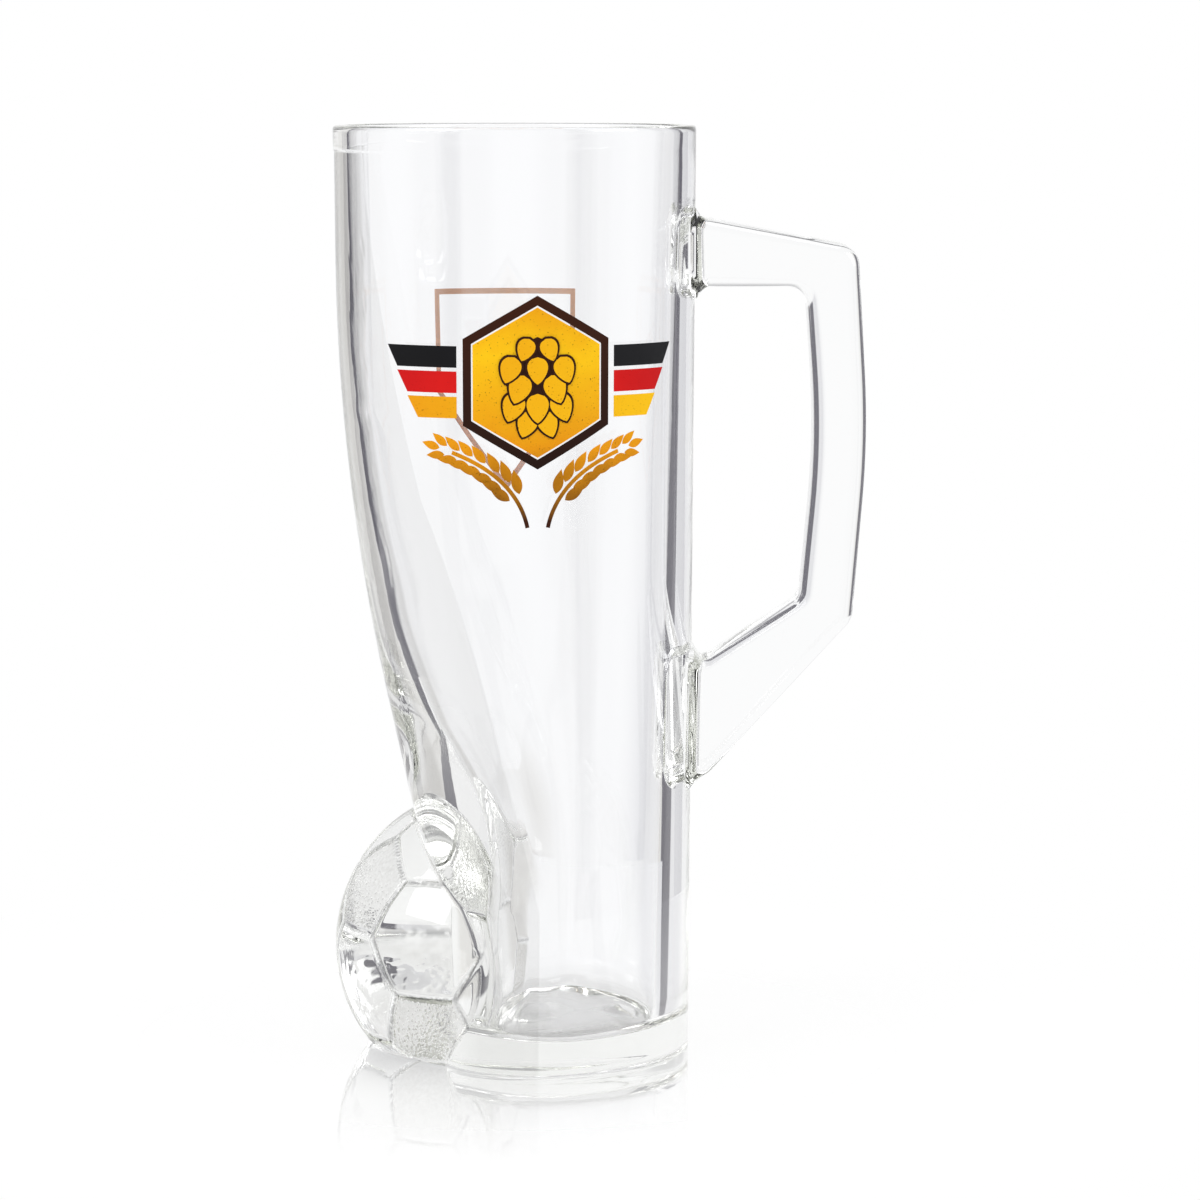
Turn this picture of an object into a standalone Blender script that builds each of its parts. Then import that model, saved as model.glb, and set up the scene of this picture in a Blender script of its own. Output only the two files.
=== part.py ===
"""Clear glass beer mug: a barrel swept back like a shin, with a half-sunk football at its toe.

Units are metres and +Z is up. The origin is on the barrel's axis, in the plane that the mug stands on.
The handle points along +X, the ball along -X, and the main print faces -Y.
"""

import math

import bmesh
import bpy
from mathutils import Matrix, Vector
from mathutils.geometry import tessellate_polygon

MM = 0.001

# Barrel
MUG_HEIGHT = 205.0 * MM
RIM_RADIUS = 40.0 * MM
FOOT_RADIUS = 38.65 * MM
RIM_WALL = 3.4 * MM
FOOT_WALL = 7.6 * MM
FLOOR_THICKNESS = 6.0 * MM
FLOOR_ROUND = 2.8 * MM
FOOT_ROUND = 1.0 * MM

# Leg: the side that sweeps back from the rim to an upright ankle
LEG_EDGE_BELOW_RIM = 5.5 * MM
LEG_PANEL_DEPTH = 0.2 * MM
LEG_SWEEP_BELOW_RIM = 28.0 * MM
LEG_SWEEP_DEPTH = 21.3 * MM
LEG_ANKLE_HEIGHT = 36.0 * MM
LEG_CURVE_RADIUS = RIM_RADIUS + 3.3 * MM
LEG_NARROWS_BELOW_RIM = 80.0 * MM
LEG_TOP_CREASE = math.radians(36.0)
LEG_CREASE_EASE = 1.3
LEG_ANKLE_FULLNESS = 4.0
LEG_SQUARING_HEIGHT = 40.0 * MM

# Cavity behind the leg, which leaves the wall thicker towards the foot
CAVITY_SWEEP_BELOW_RIM = 41.0 * MM
CAVITY_SWEEP_DEPTH = 19.5 * MM
CAVITY_ANKLE_HEIGHT = 58.0 * MM
CAVITY_ANKLE_DRAFT = math.radians(2.0)
CAVITY_CURVE_RADIUS = RIM_RADIUS - RIM_WALL + 1.9 * MM

# Football
BALL_RADIUS = 35.4 * MM
BALL_FLAT_DEPTH = 13.2 * MM
BALL_SINK = 12.2 * MM

# Handle
HANDLE_TOP_BELOW_RIM = 20.4 * MM
HANDLE_THICKNESS = 18.0 * MM
HANDLE_EDGE_ROUND = 3.0 * MM
FINGER_GAP = 27.0 * MM
GRIP_WIDTH = 11.4 * MM
GRIP_TOP_LEAN = 2.4 * MM
GRIP_FOOT_LEAN = 3.4 * MM
GRIP_BOW_BELOW_TOP = 48.0 * MM
GRIP_FOOT_BELOW_TOP = 88.6 * MM
GRIP_BOW_RADIUS = 200.0 * MM
TOP_ARM_DEPTH = 14.8 * MM
TOP_ARM_FALL = 6.2 * MM
LOW_ARM_INSIDE_BELOW_TOP = 97.9 * MM
LOW_ARM_INSIDE_RISE = 13.9 * MM
LOW_ARM_DEPTH = 26.1 * MM
OUTER_CORNER_RADIUS = 5.0 * MM
INNER_CORNER_RADIUS = 4.5 * MM

# Pads of hot glass between the handle and the barrel
WELD_THICKNESS = 2.0 * MM
WELD_FLARE = 3.5 * MM
WELD_CORNER_POWER = 0.67
JOINT_GAP = 0.3 * MM

# Fired prints
PRINT_GAP = 0.1 * MM
PRINT_THICKNESS = 0.15 * MM
PRINT_BELOW_RIM = 60.0 * MM
PRINT_TURN = math.radians(8.0)
BADGE_RADIUS = 18.5 * MM
BADGE_RISE = 6.0 * MM
BADGE_RIM_WIDTH = 2.1 * MM
PRINT_CLEARANCE = 0.4 * MM
HOP_HEIGHT = 19.5 * MM
HOP_WIDTH = 14.5 * MM
HOP_SCALES = 5
HOP_EGG_POWER = 0.8
HOP_SCALLOP = 0.22
BAR_HEIGHT = 4.6 * MM
BAR_SPACING = 5.4 * MM
BAR_REACH = 32.0 * MM
BAR_STEP = 2.7 * MM
BAR_BADGE_GAP = 1.4 * MM
EAR_LENGTH = 30.0 * MM
EAR_WIDTH = 7.6 * MM
EAR_STALK_WIDTH = 1.1 * MM
EAR_STALK_SHARE = 0.3
EAR_GRAINS = 7
EAR_EGG_POWER = 0.7
EAR_SCALLOP = 0.28
EAR_START_OUT = 2.2 * MM
EAR_START_DROP = 25.0 * MM
EAR_START_ANGLE = math.radians(12.0)
EAR_BEND = math.radians(62.0)
BACK_TURN = math.radians(185.0)
BACK_BELOW_RIM = 62.0 * MM
BACK_WIDTH = 36.0 * MM
BACK_HEIGHT = 47.0 * MM
BACK_SIDE_HEIGHT = 23.5 * MM
BACK_LINE = 1.3 * MM
BACK_RING_RADIUS = 7.0 * MM
BACK_RING_RISE = 6.0 * MM

# Power of an oval that is a plain circle
ARC_FULLNESS = 2.0

# Facets
SHARP_ANGLE = math.radians(32.0)
BARREL_POINTS = 44
LEG_POINTS = 19
FOOT_RINGS = 2
LEG_RINGS = 12
LIP_RINGS = 6
CAVITY_RINGS = 11
FLOOR_RINGS = 3
CUTTER_RINGS = 12
BALL_SEGMENTS = 44
ARC_POINTS = 5
EDGE_SEGMENTS = 2
WELD_POINTS = 28
WELD_RINGS = 3
CIRCLE_POINTS = 30
SCALLOP_POINTS = 4
PRINT_STRIP = 4.0 * MM


def clear_scene():
    """Remove every object, so that the script can be run again."""
    for item in list(bpy.data.objects):
        bpy.data.objects.remove(item, do_unlink=True)


def finish_material(name, colour, roughness, metallic=0.0, transmission=0.0):
    """A Principled material with one plain colour."""
    material = bpy.data.materials.new(name)
    material.use_nodes = True
    shader = material.node_tree.nodes["Principled BSDF"]
    shader.inputs["Base Color"].default_value = (*colour, 1.0)
    shader.inputs["Roughness"].default_value = roughness
    shader.inputs["Metallic"].default_value = metallic
    shader.inputs["Transmission Weight"].default_value = transmission
    material.diffuse_color = (*colour, 1.0)
    return material


def finish_object(name, mesh, material, parent):
    """Turn a bmesh into a named object with one material, shaded smooth up to a sharp crease."""
    bmesh.ops.recalc_face_normals(mesh, faces=mesh.faces)
    data = bpy.data.meshes.new(name)
    mesh.to_mesh(data)
    mesh.free()
    data.shade_smooth()
    data.set_sharp_from_angle(angle=SHARP_ANGLE)
    data.materials.append(material)
    item = bpy.data.objects.new(name, data)
    bpy.context.collection.objects.link(item)
    item.parent = parent
    return item


# Sections of the barrel and the cavity


def mix(first, second, share):
    """The value that lies a share of the way from the first to the second."""
    return first + (second - first) * share


def barrel_radius(height):
    """Outer radius of the barrel, which widens in a straight line from foot to rim."""
    return mix(FOOT_RADIUS, RIM_RADIUS, height / MUG_HEIGHT)


def wall_thickness(height):
    """Wall of the round side, thickest at the floor."""
    return mix(FOOT_WALL, RIM_WALL, (height - FLOOR_THICKNESS) / (MUG_HEIGHT - FLOOR_THICKNESS))


def sweep_depth(height, start_below_rim, full_depth, ankle_height):
    """How far a sweep has moved inwards: a parabola that leaves the rim upright and is full at the ankle."""
    start = MUG_HEIGHT - start_below_rim
    share = (start - max(height, ankle_height)) / (start - ankle_height)
    return full_depth * max(share, 0.0) ** 2


def leg_front(height):
    """X of the leg's foremost line."""
    depth = sweep_depth(height, LEG_SWEEP_BELOW_RIM, LEG_SWEEP_DEPTH, LEG_ANKLE_HEIGHT)
    return LEG_PANEL_DEPTH + depth - barrel_radius(max(height, LEG_ANKLE_HEIGHT))


def leg_curve(height):
    """Radius of the leg's front in plan: fixed on the shin, then set by creases that draw together."""
    shin_top = MUG_HEIGHT - LEG_NARROWS_BELOW_RIM
    if height <= shin_top:
        return LEG_CURVE_RADIUS
    edge = MUG_HEIGHT - LEG_EDGE_BELOW_RIM
    left = max(edge - height, 0.0) / (edge - shin_top)
    shin_crease = crease_angle(barrel_radius(shin_top), leg_front(shin_top), LEG_CURVE_RADIUS)
    angle = mix(LEG_TOP_CREASE, shin_crease, left**LEG_CREASE_EASE)
    half_width = barrel_radius(height) * math.sin(angle)
    depth = -barrel_radius(height) * math.cos(angle) - leg_front(height)
    return (half_width**2 + depth**2) / (2.0 * depth)


def cavity_radius(height):
    """Radius of the round side of the cavity."""
    return barrel_radius(height) - wall_thickness(height)


def cavity_front(height):
    """X of the cavity's foremost line, which leans in below its ankle."""
    depth = sweep_depth(height, CAVITY_SWEEP_BELOW_RIM, CAVITY_SWEEP_DEPTH, CAVITY_ANKLE_HEIGHT)
    lean = max(CAVITY_ANKLE_HEIGHT - height, 0.0) * math.tan(CAVITY_ANKLE_DRAFT)
    return depth + lean - cavity_radius(max(height, CAVITY_ANKLE_HEIGHT))


def crease_angle(round_radius, front, front_radius):
    """Angle from -X at which the round side and the front arc of a section meet."""
    centre = front + front_radius
    x = (centre**2 + round_radius**2 - front_radius**2) / (2.0 * centre)
    return math.acos(max(-1.0, min(1.0, -x / round_radius)))


def leg_fullness(height):
    """Power of the leg's front in plan: squarer at the ankle, and a plain arc a little way above it."""
    share = min(max((height - LEG_ANKLE_HEIGHT) / LEG_SQUARING_HEIGHT, 0.0), 1.0)
    return mix(LEG_ANKLE_FULLNESS, ARC_FULLNESS, share**2 * (3.0 - 2.0 * share))


def section(round_radius, front, front_radius, fullness):
    """Points of a section in plan: a long arc about the axis, closed by a front between the creases.

    The front is the oval |x / a|^n + |y / b|^n = 1 through the foremost point and both creases. Its
    centre is the front arc's, and a power n of 2 gives that arc itself.
    """
    angle = crease_angle(round_radius, front, front_radius)
    points = []
    for index in range(BARREL_POINTS + 1):
        turn = mix(angle, 2.0 * math.pi - angle, index / BARREL_POINTS)
        points.append((-round_radius * math.cos(turn), -round_radius * math.sin(turn)))
    centre = front + front_radius
    crease_y = round_radius * math.sin(angle)
    crease_share = max(centre + round_radius * math.cos(angle), 0.0) / front_radius
    half_width = crease_y / (1.0 - crease_share**fullness) ** (1.0 / fullness)
    for index in range(1, LEG_POINTS):
        y = crease_y * math.sin(math.pi * (index / LEG_POINTS - 0.5))
        reach = (1.0 - abs(y / half_width) ** fullness) ** (1.0 / fullness)
        points.append((centre - front_radius * reach, -y))
    return points


def outer_ring(height, inset=0.0):
    """Outside of the mug below the leg's top edge."""
    radius = barrel_radius(height) - inset
    return section(radius, leg_front(height) + inset, leg_curve(height) - inset, leg_fullness(height))


def cavity_ring(height, inset=0.0):
    """Inside of the mug where the sweep has begun."""
    radius = cavity_radius(height) - inset
    return section(radius, cavity_front(height) + inset, CAVITY_CURVE_RADIUS - inset, ARC_FULLNESS)


def round_ring(radius, angle):
    """A full circle with its points shared out as in a section with that crease angle."""
    points = []
    for index in range(BARREL_POINTS + 1):
        turn = mix(angle, 2.0 * math.pi - angle, index / BARREL_POINTS)
        points.append((-radius * math.cos(turn), -radius * math.sin(turn)))
    for index in range(1, LEG_POINTS):
        turn = mix(-angle, angle, index / LEG_POINTS)
        points.append((-radius * math.cos(turn), -radius * math.sin(turn)))
    return points


def loft(rings):
    """Closed bmesh through (height, points) rings, capped at its first and last ring."""
    mesh = bmesh.new()
    loops = []
    for height, points in rings:
        loops.append([mesh.verts.new((x, y, height)) for x, y in points])
    for below, above in zip(loops, loops[1:]):
        for index in range(len(below)):
            following = (index + 1) % len(below)
            mesh.faces.new((below[index], below[following], above[following], above[index]))
    mesh.faces.new(loops[0])
    mesh.faces.new(loops[-1])
    return mesh


def steps(first, last, count):
    """Evenly spaced values from first to last, both included."""
    return [mix(first, last, index / count) for index in range(count + 1)]


# Glass pieces


def make_body(material, parent):
    """The vessel: up the outside, over the rounded lip, and down the cavity to the floor."""
    edge = MUG_HEIGHT - LEG_EDGE_BELOW_RIM
    lip = RIM_WALL / 2.0
    rings = [(0.0, outer_ring(0.0, FOOT_ROUND))]
    for height in steps(FOOT_ROUND, LEG_ANKLE_HEIGHT, FOOT_RINGS):
        rings.append((height, outer_ring(height)))
    for height in steps(LEG_ANKLE_HEIGHT, edge, LEG_RINGS)[1:]:
        rings.append((height, outer_ring(height)))
    angle = crease_angle(barrel_radius(edge), leg_front(edge), leg_curve(edge))
    rings.append((edge + LEG_PANEL_DEPTH, round_ring(barrel_radius(edge), angle)))
    lip_centre = RIM_RADIUS - lip
    for turn in steps(0.0, math.pi, LIP_RINGS):
        radius = lip_centre + lip * math.cos(turn)
        rings.append((MUG_HEIGHT - lip + lip * math.sin(turn), round_ring(radius, angle)))
    sweep_start = MUG_HEIGHT - CAVITY_SWEEP_BELOW_RIM
    rings.append((sweep_start, round_ring(cavity_radius(sweep_start), angle)))
    for height in steps(sweep_start, CAVITY_ANKLE_HEIGHT, CAVITY_RINGS)[1:]:
        rings.append((height, cavity_ring(height)))
    for turn in steps(0.0, math.pi / 2.0, FLOOR_RINGS):
        height = FLOOR_THICKNESS + FLOOR_ROUND * (1.0 - math.sin(turn))
        rings.append((height, cavity_ring(height, FLOOR_ROUND * (1.0 - math.cos(turn)))))
    return finish_object("glass_body", loft(rings), material, parent)


def make_ball(material, parent):
    """The football: a sphere with a flat underside, cut to the leg that it is fused to."""
    centre_height = BALL_RADIUS - BALL_FLAT_DEPTH
    cutter_rings = []
    for height in steps(-JOINT_GAP - FOOT_ROUND, centre_height + BALL_RADIUS, CUTTER_RINGS):
        cutter_rings.append((height, outer_ring(max(height, 0.0), -JOINT_GAP)))
    cutter = finish_object("leg_cutter", loft(cutter_rings), material, parent)
    cutter.hide_render = True
    cutter.display_type = "WIRE"
    mesh = bmesh.new()
    rows = BALL_SEGMENTS // 2
    bmesh.ops.create_uvsphere(mesh, u_segments=BALL_SEGMENTS, v_segments=rows, radius=BALL_RADIUS)
    everything = list(mesh.verts) + list(mesh.edges) + list(mesh.faces)
    cut = bmesh.ops.bisect_plane(
        mesh,
        geom=everything,
        plane_co=(0.0, 0.0, -centre_height),
        plane_no=(0.0, 0.0, -1.0),
        clear_outer=True,
    )
    cut_edges = [part for part in cut["geom_cut"] if isinstance(part, bmesh.types.BMEdge)]
    bmesh.ops.contextual_create(mesh, geom=cut_edges)
    ball = finish_object("football", mesh, material, parent)
    ball.location = (leg_front(0.0) + BALL_SINK, 0.0, centre_height)
    boolean = ball.modifiers.new("leg", "BOOLEAN")
    boolean.operation = "DIFFERENCE"
    boolean.object = cutter
    return ball


def handle_roots():
    """Heights of the two arms' root faces, as (foot, top) pairs: the upper arm, then the lower."""
    top = MUG_HEIGHT - HANDLE_TOP_BELOW_RIM
    low = top - LOW_ARM_INSIDE_BELOW_TOP
    return (top - TOP_ARM_DEPTH, top), (low - LOW_ARM_DEPTH, low)


def weld_face(root):
    """X of a weld's outer face: far enough out for its thinnest place at the top of the root."""
    return barrel_radius(root[1]) + JOINT_GAP + WELD_THICKNESS


def rounded_outline(corners):
    """Points of a closed outline whose (x, z, radius) corners are rounded to arcs."""
    points = []
    for index, (x, z, radius) in enumerate(corners):
        here = Vector((x, z))
        before = Vector(corners[index - 1][:2])
        after = Vector(corners[(index + 1) % len(corners)][:2])
        if radius == 0.0:
            points.append(here)
            continue
        back = (before - here).normalized()
        ahead = (after - here).normalized()
        half = back.angle(ahead) / 2.0
        centre = here + (back + ahead).normalized() * (radius / math.sin(half))
        start = here + back * (radius / math.tan(half)) - centre
        end = here + ahead * (radius / math.tan(half)) - centre
        sweep = start.angle_signed(end)
        for step in range(ARC_POINTS + 1):
            points.append(centre + Matrix.Rotation(-sweep * step / ARC_POINTS, 2) @ start)
    return points


def make_handle(material, parent):
    """The handle: a flat plate of glass, cut to the outline of two arms and a bowed grip."""
    upper, lower = handle_roots()
    top = upper[1]
    upper_root = weld_face(upper) + JOINT_GAP
    lower_root = weld_face(lower) + JOINT_GAP
    inside = RIM_RADIUS + FINGER_GAP
    outside = inside + GRIP_WIDTH
    bow = top - GRIP_BOW_BELOW_TOP
    inside_foot = top - LOW_ARM_INSIDE_BELOW_TOP + LOW_ARM_INSIDE_RISE
    outline = rounded_outline(
        [
            (upper_root, top, 0.0),
            (outside - GRIP_TOP_LEAN, top - TOP_ARM_FALL, OUTER_CORNER_RADIUS),
            (outside, bow, GRIP_BOW_RADIUS),
            (outside - GRIP_FOOT_LEAN, top - GRIP_FOOT_BELOW_TOP, OUTER_CORNER_RADIUS),
            (lower_root, lower[0], 0.0),
            (lower_root, lower[1], 0.0),
            (inside - GRIP_FOOT_LEAN, inside_foot, INNER_CORNER_RADIUS),
            (inside, bow, GRIP_BOW_RADIUS - GRIP_WIDTH),
            (inside - GRIP_TOP_LEAN, upper[0], INNER_CORNER_RADIUS),
            (upper_root, upper[0], 0.0),
        ]
    )
    mesh = bmesh.new()
    half = HANDLE_THICKNESS / 2.0
    face = mesh.faces.new([mesh.verts.new((x, -half, z)) for x, z in outline])
    grown = bmesh.ops.extrude_face_region(mesh, geom=[face])
    moved = [part for part in grown["geom"] if isinstance(part, bmesh.types.BMVert)]
    bmesh.ops.translate(mesh, vec=(0.0, HANDLE_THICKNESS, 0.0), verts=moved)
    side_edges = []
    for edge in mesh.edges:
        first, second = edge.verts
        if abs(first.co.y - second.co.y) < half:
            side_edges.append(edge)
    bmesh.ops.bevel(
        mesh,
        geom=side_edges,
        offset=HANDLE_EDGE_ROUND,
        offset_type="OFFSET",
        segments=EDGE_SEGMENTS,
        profile=0.5,
        affect="EDGES",
        clamp_overlap=True,
    )
    return finish_object("handle", mesh, material, parent)


def make_weld(name, root, material, parent):
    """A pad of glass: its back follows the barrel, and its flat outer face takes the handle's root."""
    face = weld_face(root)
    middle = (root[0] + root[1]) / 2.0
    seat_width = HANDLE_THICKNESS / 2.0
    seat_height = (root[1] - root[0]) / 2.0
    mesh = bmesh.new()

    def squared(value):
        """A sine or cosine pushed outwards, which squares an oval's corners."""
        return math.copysign(abs(value) ** WELD_CORNER_POWER, value)

    def oval(width, height, share):
        """Points of a squarish oval, shrunk to a share of its size."""
        points = []
        for index in range(WELD_POINTS):
            turn = 2.0 * math.pi * index / WELD_POINTS
            across = squared(math.cos(turn))
            upward = squared(math.sin(turn))
            points.append((share * width * across, middle + share * height * upward))
        return points

    def seated(y, z):
        """A vertex on the barrel, one gap out from the glass."""
        radius = barrel_radius(z) + JOINT_GAP
        return mesh.verts.new((math.sqrt(radius**2 - y**2), y, z))

    rings = []
    for ring in range(WELD_RINGS):
        share = 1.0 - ring / WELD_RINGS
        outline = oval(seat_width + WELD_FLARE, seat_height + WELD_FLARE, share)
        rings.append([seated(y, z) for y, z in outline])
    rings.insert(0, [mesh.verts.new((face, y, z)) for y, z in oval(seat_width, seat_height, 1.0)])
    for first, second in zip(rings, rings[1:]):
        for index in range(WELD_POINTS):
            following = (index + 1) % WELD_POINTS
            mesh.faces.new((first[index], first[following], second[following], second[index]))
    centre = seated(0.0, middle)
    for index in range(WELD_POINTS):
        mesh.faces.new((rings[-1][index], rings[-1][(index + 1) % WELD_POINTS], centre))
    mesh.faces.new(rings[0])
    return finish_object(name, mesh, material, parent)


# Prints: flat outlines in (across, up), wrapped on the barrel


def wrap_print(name, loops, turn, height, layer, material, parent):
    """A thin deposit: the area inside the first loop and outside the rest, wrapped on the barrel."""
    mesh = bmesh.new()
    corners = [Vector((x, y, 0.0)) for loop in loops for x, y in loop]
    verts = [mesh.verts.new(corner) for corner in corners]
    filled = tessellate_polygon([[Vector((x, y, 0.0)) for x, y in loop] for loop in loops])
    for triangle in filled:
        mesh.faces.new([verts[index] for index in triangle])
    furthest = max(abs(corner.x) for corner in corners)
    strips = math.ceil(furthest / PRINT_STRIP)
    for index in range(-strips, strips + 1):
        everything = list(mesh.verts) + list(mesh.edges) + list(mesh.faces)
        cut_at = (index * PRINT_STRIP, 0.0, 0.0)
        bmesh.ops.bisect_plane(mesh, geom=everything, plane_co=cut_at, plane_no=(1.0, 0.0, 0.0))
    grown = bmesh.ops.extrude_face_region(mesh, geom=list(mesh.faces))
    raised = {part for part in grown["geom"] if isinstance(part, bmesh.types.BMVert)}
    lift = PRINT_GAP + layer * (PRINT_THICKNESS + PRINT_GAP)
    for vert in mesh.verts:
        up = height + vert.co.y
        angle = turn + vert.co.x / barrel_radius(height)
        radius = barrel_radius(up) + lift
        if vert in raised:
            radius += PRINT_THICKNESS
        vert.co = (radius * math.sin(angle), -radius * math.cos(angle), up)
    return finish_object(name, mesh, material, parent)


def hexagon(radius, rise):
    """A hexagon that stands on a corner."""
    points = []
    for index in range(6):
        turn = math.pi / 2.0 + index * math.pi / 3.0
        points.append((radius * math.cos(turn), rise + radius * math.sin(turn)))
    return points


def hop_outline():
    """A hop cone: an egg shape, widest above its middle, with a scalloped edge of scales down each side."""
    right = []
    count = HOP_SCALES * SCALLOP_POINTS
    for index in range(1, count):
        share = index / count
        egg = math.sin(math.pi * share**HOP_EGG_POWER)
        scale = 1.0 - HOP_SCALLOP * (1.0 - abs(math.sin(math.pi * HOP_SCALES * share)))
        right.append((HOP_WIDTH / 2.0 * egg * scale, BADGE_RISE + HOP_HEIGHT * (0.5 - share)))
    left = [(-x, y) for x, y in reversed(right)]
    top = (0.0, BADGE_RISE + HOP_HEIGHT / 2.0)
    tip = (0.0, BADGE_RISE - HOP_HEIGHT / 2.0)
    return [top] + right + [tip] + left


def bar_outline(side, row):
    """A straight bar from the badge outwards, with an end that leans like the hexagon's."""
    middle = BADGE_RISE - row * BAR_SPACING
    inner = BADGE_RADIUS * math.cos(math.pi / 6.0) + BAR_BADGE_GAP
    outer = BAR_REACH - (row + 1) * BAR_STEP
    low = middle - BAR_HEIGHT / 2.0
    high = middle + BAR_HEIGHT / 2.0
    points = [(inner, low), (outer, low), (outer + BAR_STEP, high), (inner, high)]
    return [(side * x, y) for x, y in points]


def ear_outline(side):
    """A barley ear: a slim stalk, then rows of grain that swell and narrow along a bent centre line."""
    count = EAR_GRAINS * SCALLOP_POINTS
    stalk = round(count * EAR_STALK_SHARE)
    step = EAR_LENGTH / (count + stalk)
    x = EAR_START_OUT
    y = -EAR_START_DROP
    left = []
    right = []
    for index in range(count + stalk):
        share = index / (count + stalk)
        angle = EAR_START_ANGLE + EAR_BEND * math.sin(math.pi * share / 2.0)
        grain = max(index - stalk, 0)
        body = math.sin(math.pi * (grain / count) ** EAR_EGG_POWER)
        swell = 1.0 - EAR_SCALLOP * (1.0 - abs(math.sin(math.pi * grain / SCALLOP_POINTS)))
        half = max(EAR_STALK_WIDTH, EAR_WIDTH * body * swell) / 2.0
        left.append((x - half * math.cos(angle), y + half * math.sin(angle)))
        right.append((x + half * math.cos(angle), y - half * math.sin(angle)))
        x += step * math.sin(angle)
        y += step * math.cos(angle)
    outline = right + [(x, y)] + left[::-1]
    return [(side * px, py) for px, py in outline]


def shield_outline(inset):
    """A plain shield: straight top and sides, and a point below, moved inwards by the inset."""
    half = BACK_WIDTH / 2.0 - inset
    top = BACK_HEIGHT / 2.0 - inset
    slope = (BACK_HEIGHT - BACK_SIDE_HEIGHT) / (BACK_WIDTH / 2.0)
    tip = inset * math.hypot(1.0, slope) - BACK_HEIGHT / 2.0
    shoulder = tip + slope * half
    return [(-half, top), (-half, shoulder), (0.0, tip), (half, shoulder), (half, top)]


def circle_outline(radius, rise):
    """A circle of straight facets."""
    points = []
    for index in range(CIRCLE_POINTS):
        turn = 2.0 * math.pi * index / CIRCLE_POINTS
        points.append((radius * math.cos(turn), rise + radius * math.sin(turn)))
    return points


def make_prints(parent):
    """The front badge with its bars and barley ears, and the line drawing at the back."""
    gold = finish_material("gold_enamel", (0.72, 0.40, 0.05), 0.30)
    brown = finish_material("brown_enamel", (0.06, 0.025, 0.012), 0.30)
    black = finish_material("black_enamel", (0.012, 0.012, 0.014), 0.30)
    red = finish_material("red_enamel", (0.58, 0.02, 0.02), 0.30)
    copper = finish_material("copper_enamel", (0.62, 0.27, 0.12), 0.30)
    bar_colours = (("black", black), ("red", red), ("gold", gold))
    front = (PRINT_TURN, MUG_HEIGHT - PRINT_BELOW_RIM)
    field_radius = BADGE_RADIUS - BADGE_RIM_WIDTH
    rim_loops = [hexagon(BADGE_RADIUS, BADGE_RISE), hexagon(field_radius, BADGE_RISE)]
    field = hexagon(field_radius - PRINT_CLEARANCE, BADGE_RISE)
    wrap_print("print_badge_rim", rim_loops, *front, 0, brown, parent)
    wrap_print("print_badge_field", [field], *front, 0, gold, parent)
    wrap_print("print_hop_cone", [hop_outline()], *front, 1, brown, parent)
    for side, side_name in ((-1.0, "left"), (1.0, "right")):
        for row, (colour_name, colour) in enumerate(bar_colours, start=-1):
            bar = [bar_outline(side, row)]
            wrap_print(f"print_{side_name}_{colour_name}_bar", bar, *front, 0, colour, parent)
        wrap_print(f"print_{side_name}_barley_ear", [ear_outline(side)], *front, 0, gold, parent)
    back = (BACK_TURN, MUG_HEIGHT - BACK_BELOW_RIM)
    shield = [shield_outline(0.0), shield_outline(BACK_LINE)]
    ring = [
        circle_outline(BACK_RING_RADIUS, BACK_RING_RISE),
        circle_outline(BACK_RING_RADIUS - BACK_LINE, BACK_RING_RISE),
    ]
    wrap_print("back_shield_line", shield, *back, 0, copper, parent)
    wrap_print("back_ring_line", ring, *back, 0, copper, parent)


def main():
    """Build the mug."""
    clear_scene()
    mug = bpy.data.objects.new("mug", None)
    bpy.context.collection.objects.link(mug)
    glass = finish_material("clear_glass", (0.93, 0.96, 0.95), 0.03, transmission=1.0)
    make_body(glass, mug)
    make_ball(glass, mug)
    make_handle(glass, mug)
    upper, lower = handle_roots()
    make_weld("upper_handle_weld", upper, glass, mug)
    make_weld("lower_handle_weld", lower, glass, mug)
    make_prints(mug)


main()
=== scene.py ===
# %% [markdown]
# # A glass beer mug with a football at its toe
# The mug is pressed from clear glass: a barrel whose left side sweeps back like a shin, a half-sunk
# football at the foot, and a flat handle on the right. A print is fired on the front and a line
# drawing on the back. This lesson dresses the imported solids: the five glass solids become one
# seamless skin, as hot glass does, and each print becomes a thin coat of enamel.

# %% Load the frame
import itertools
import math

import bmesh
import bpy
import numpy as np
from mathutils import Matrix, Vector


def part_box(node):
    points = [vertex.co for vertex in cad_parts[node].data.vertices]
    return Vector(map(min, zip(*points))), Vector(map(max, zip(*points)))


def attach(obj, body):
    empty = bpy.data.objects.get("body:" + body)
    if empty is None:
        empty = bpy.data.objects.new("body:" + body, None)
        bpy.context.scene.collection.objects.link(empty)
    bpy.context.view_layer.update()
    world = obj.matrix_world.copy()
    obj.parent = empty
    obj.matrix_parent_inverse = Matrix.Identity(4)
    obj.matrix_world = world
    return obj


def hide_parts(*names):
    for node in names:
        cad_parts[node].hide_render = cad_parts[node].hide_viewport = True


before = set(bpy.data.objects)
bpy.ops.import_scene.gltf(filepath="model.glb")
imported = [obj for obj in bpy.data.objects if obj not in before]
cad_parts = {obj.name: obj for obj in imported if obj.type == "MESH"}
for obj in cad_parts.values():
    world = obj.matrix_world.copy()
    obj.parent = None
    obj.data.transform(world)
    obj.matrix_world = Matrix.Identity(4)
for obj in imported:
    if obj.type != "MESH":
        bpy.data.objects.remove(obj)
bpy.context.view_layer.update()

# %% [markdown]
# ## Sizes
# A skin could be measured off the solids point by point, but a few sizes say more. Whole lengths come
# from the boxes of the solids. Walls, sweeps and fillets, which a box doesn't show, are written here.

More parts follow.
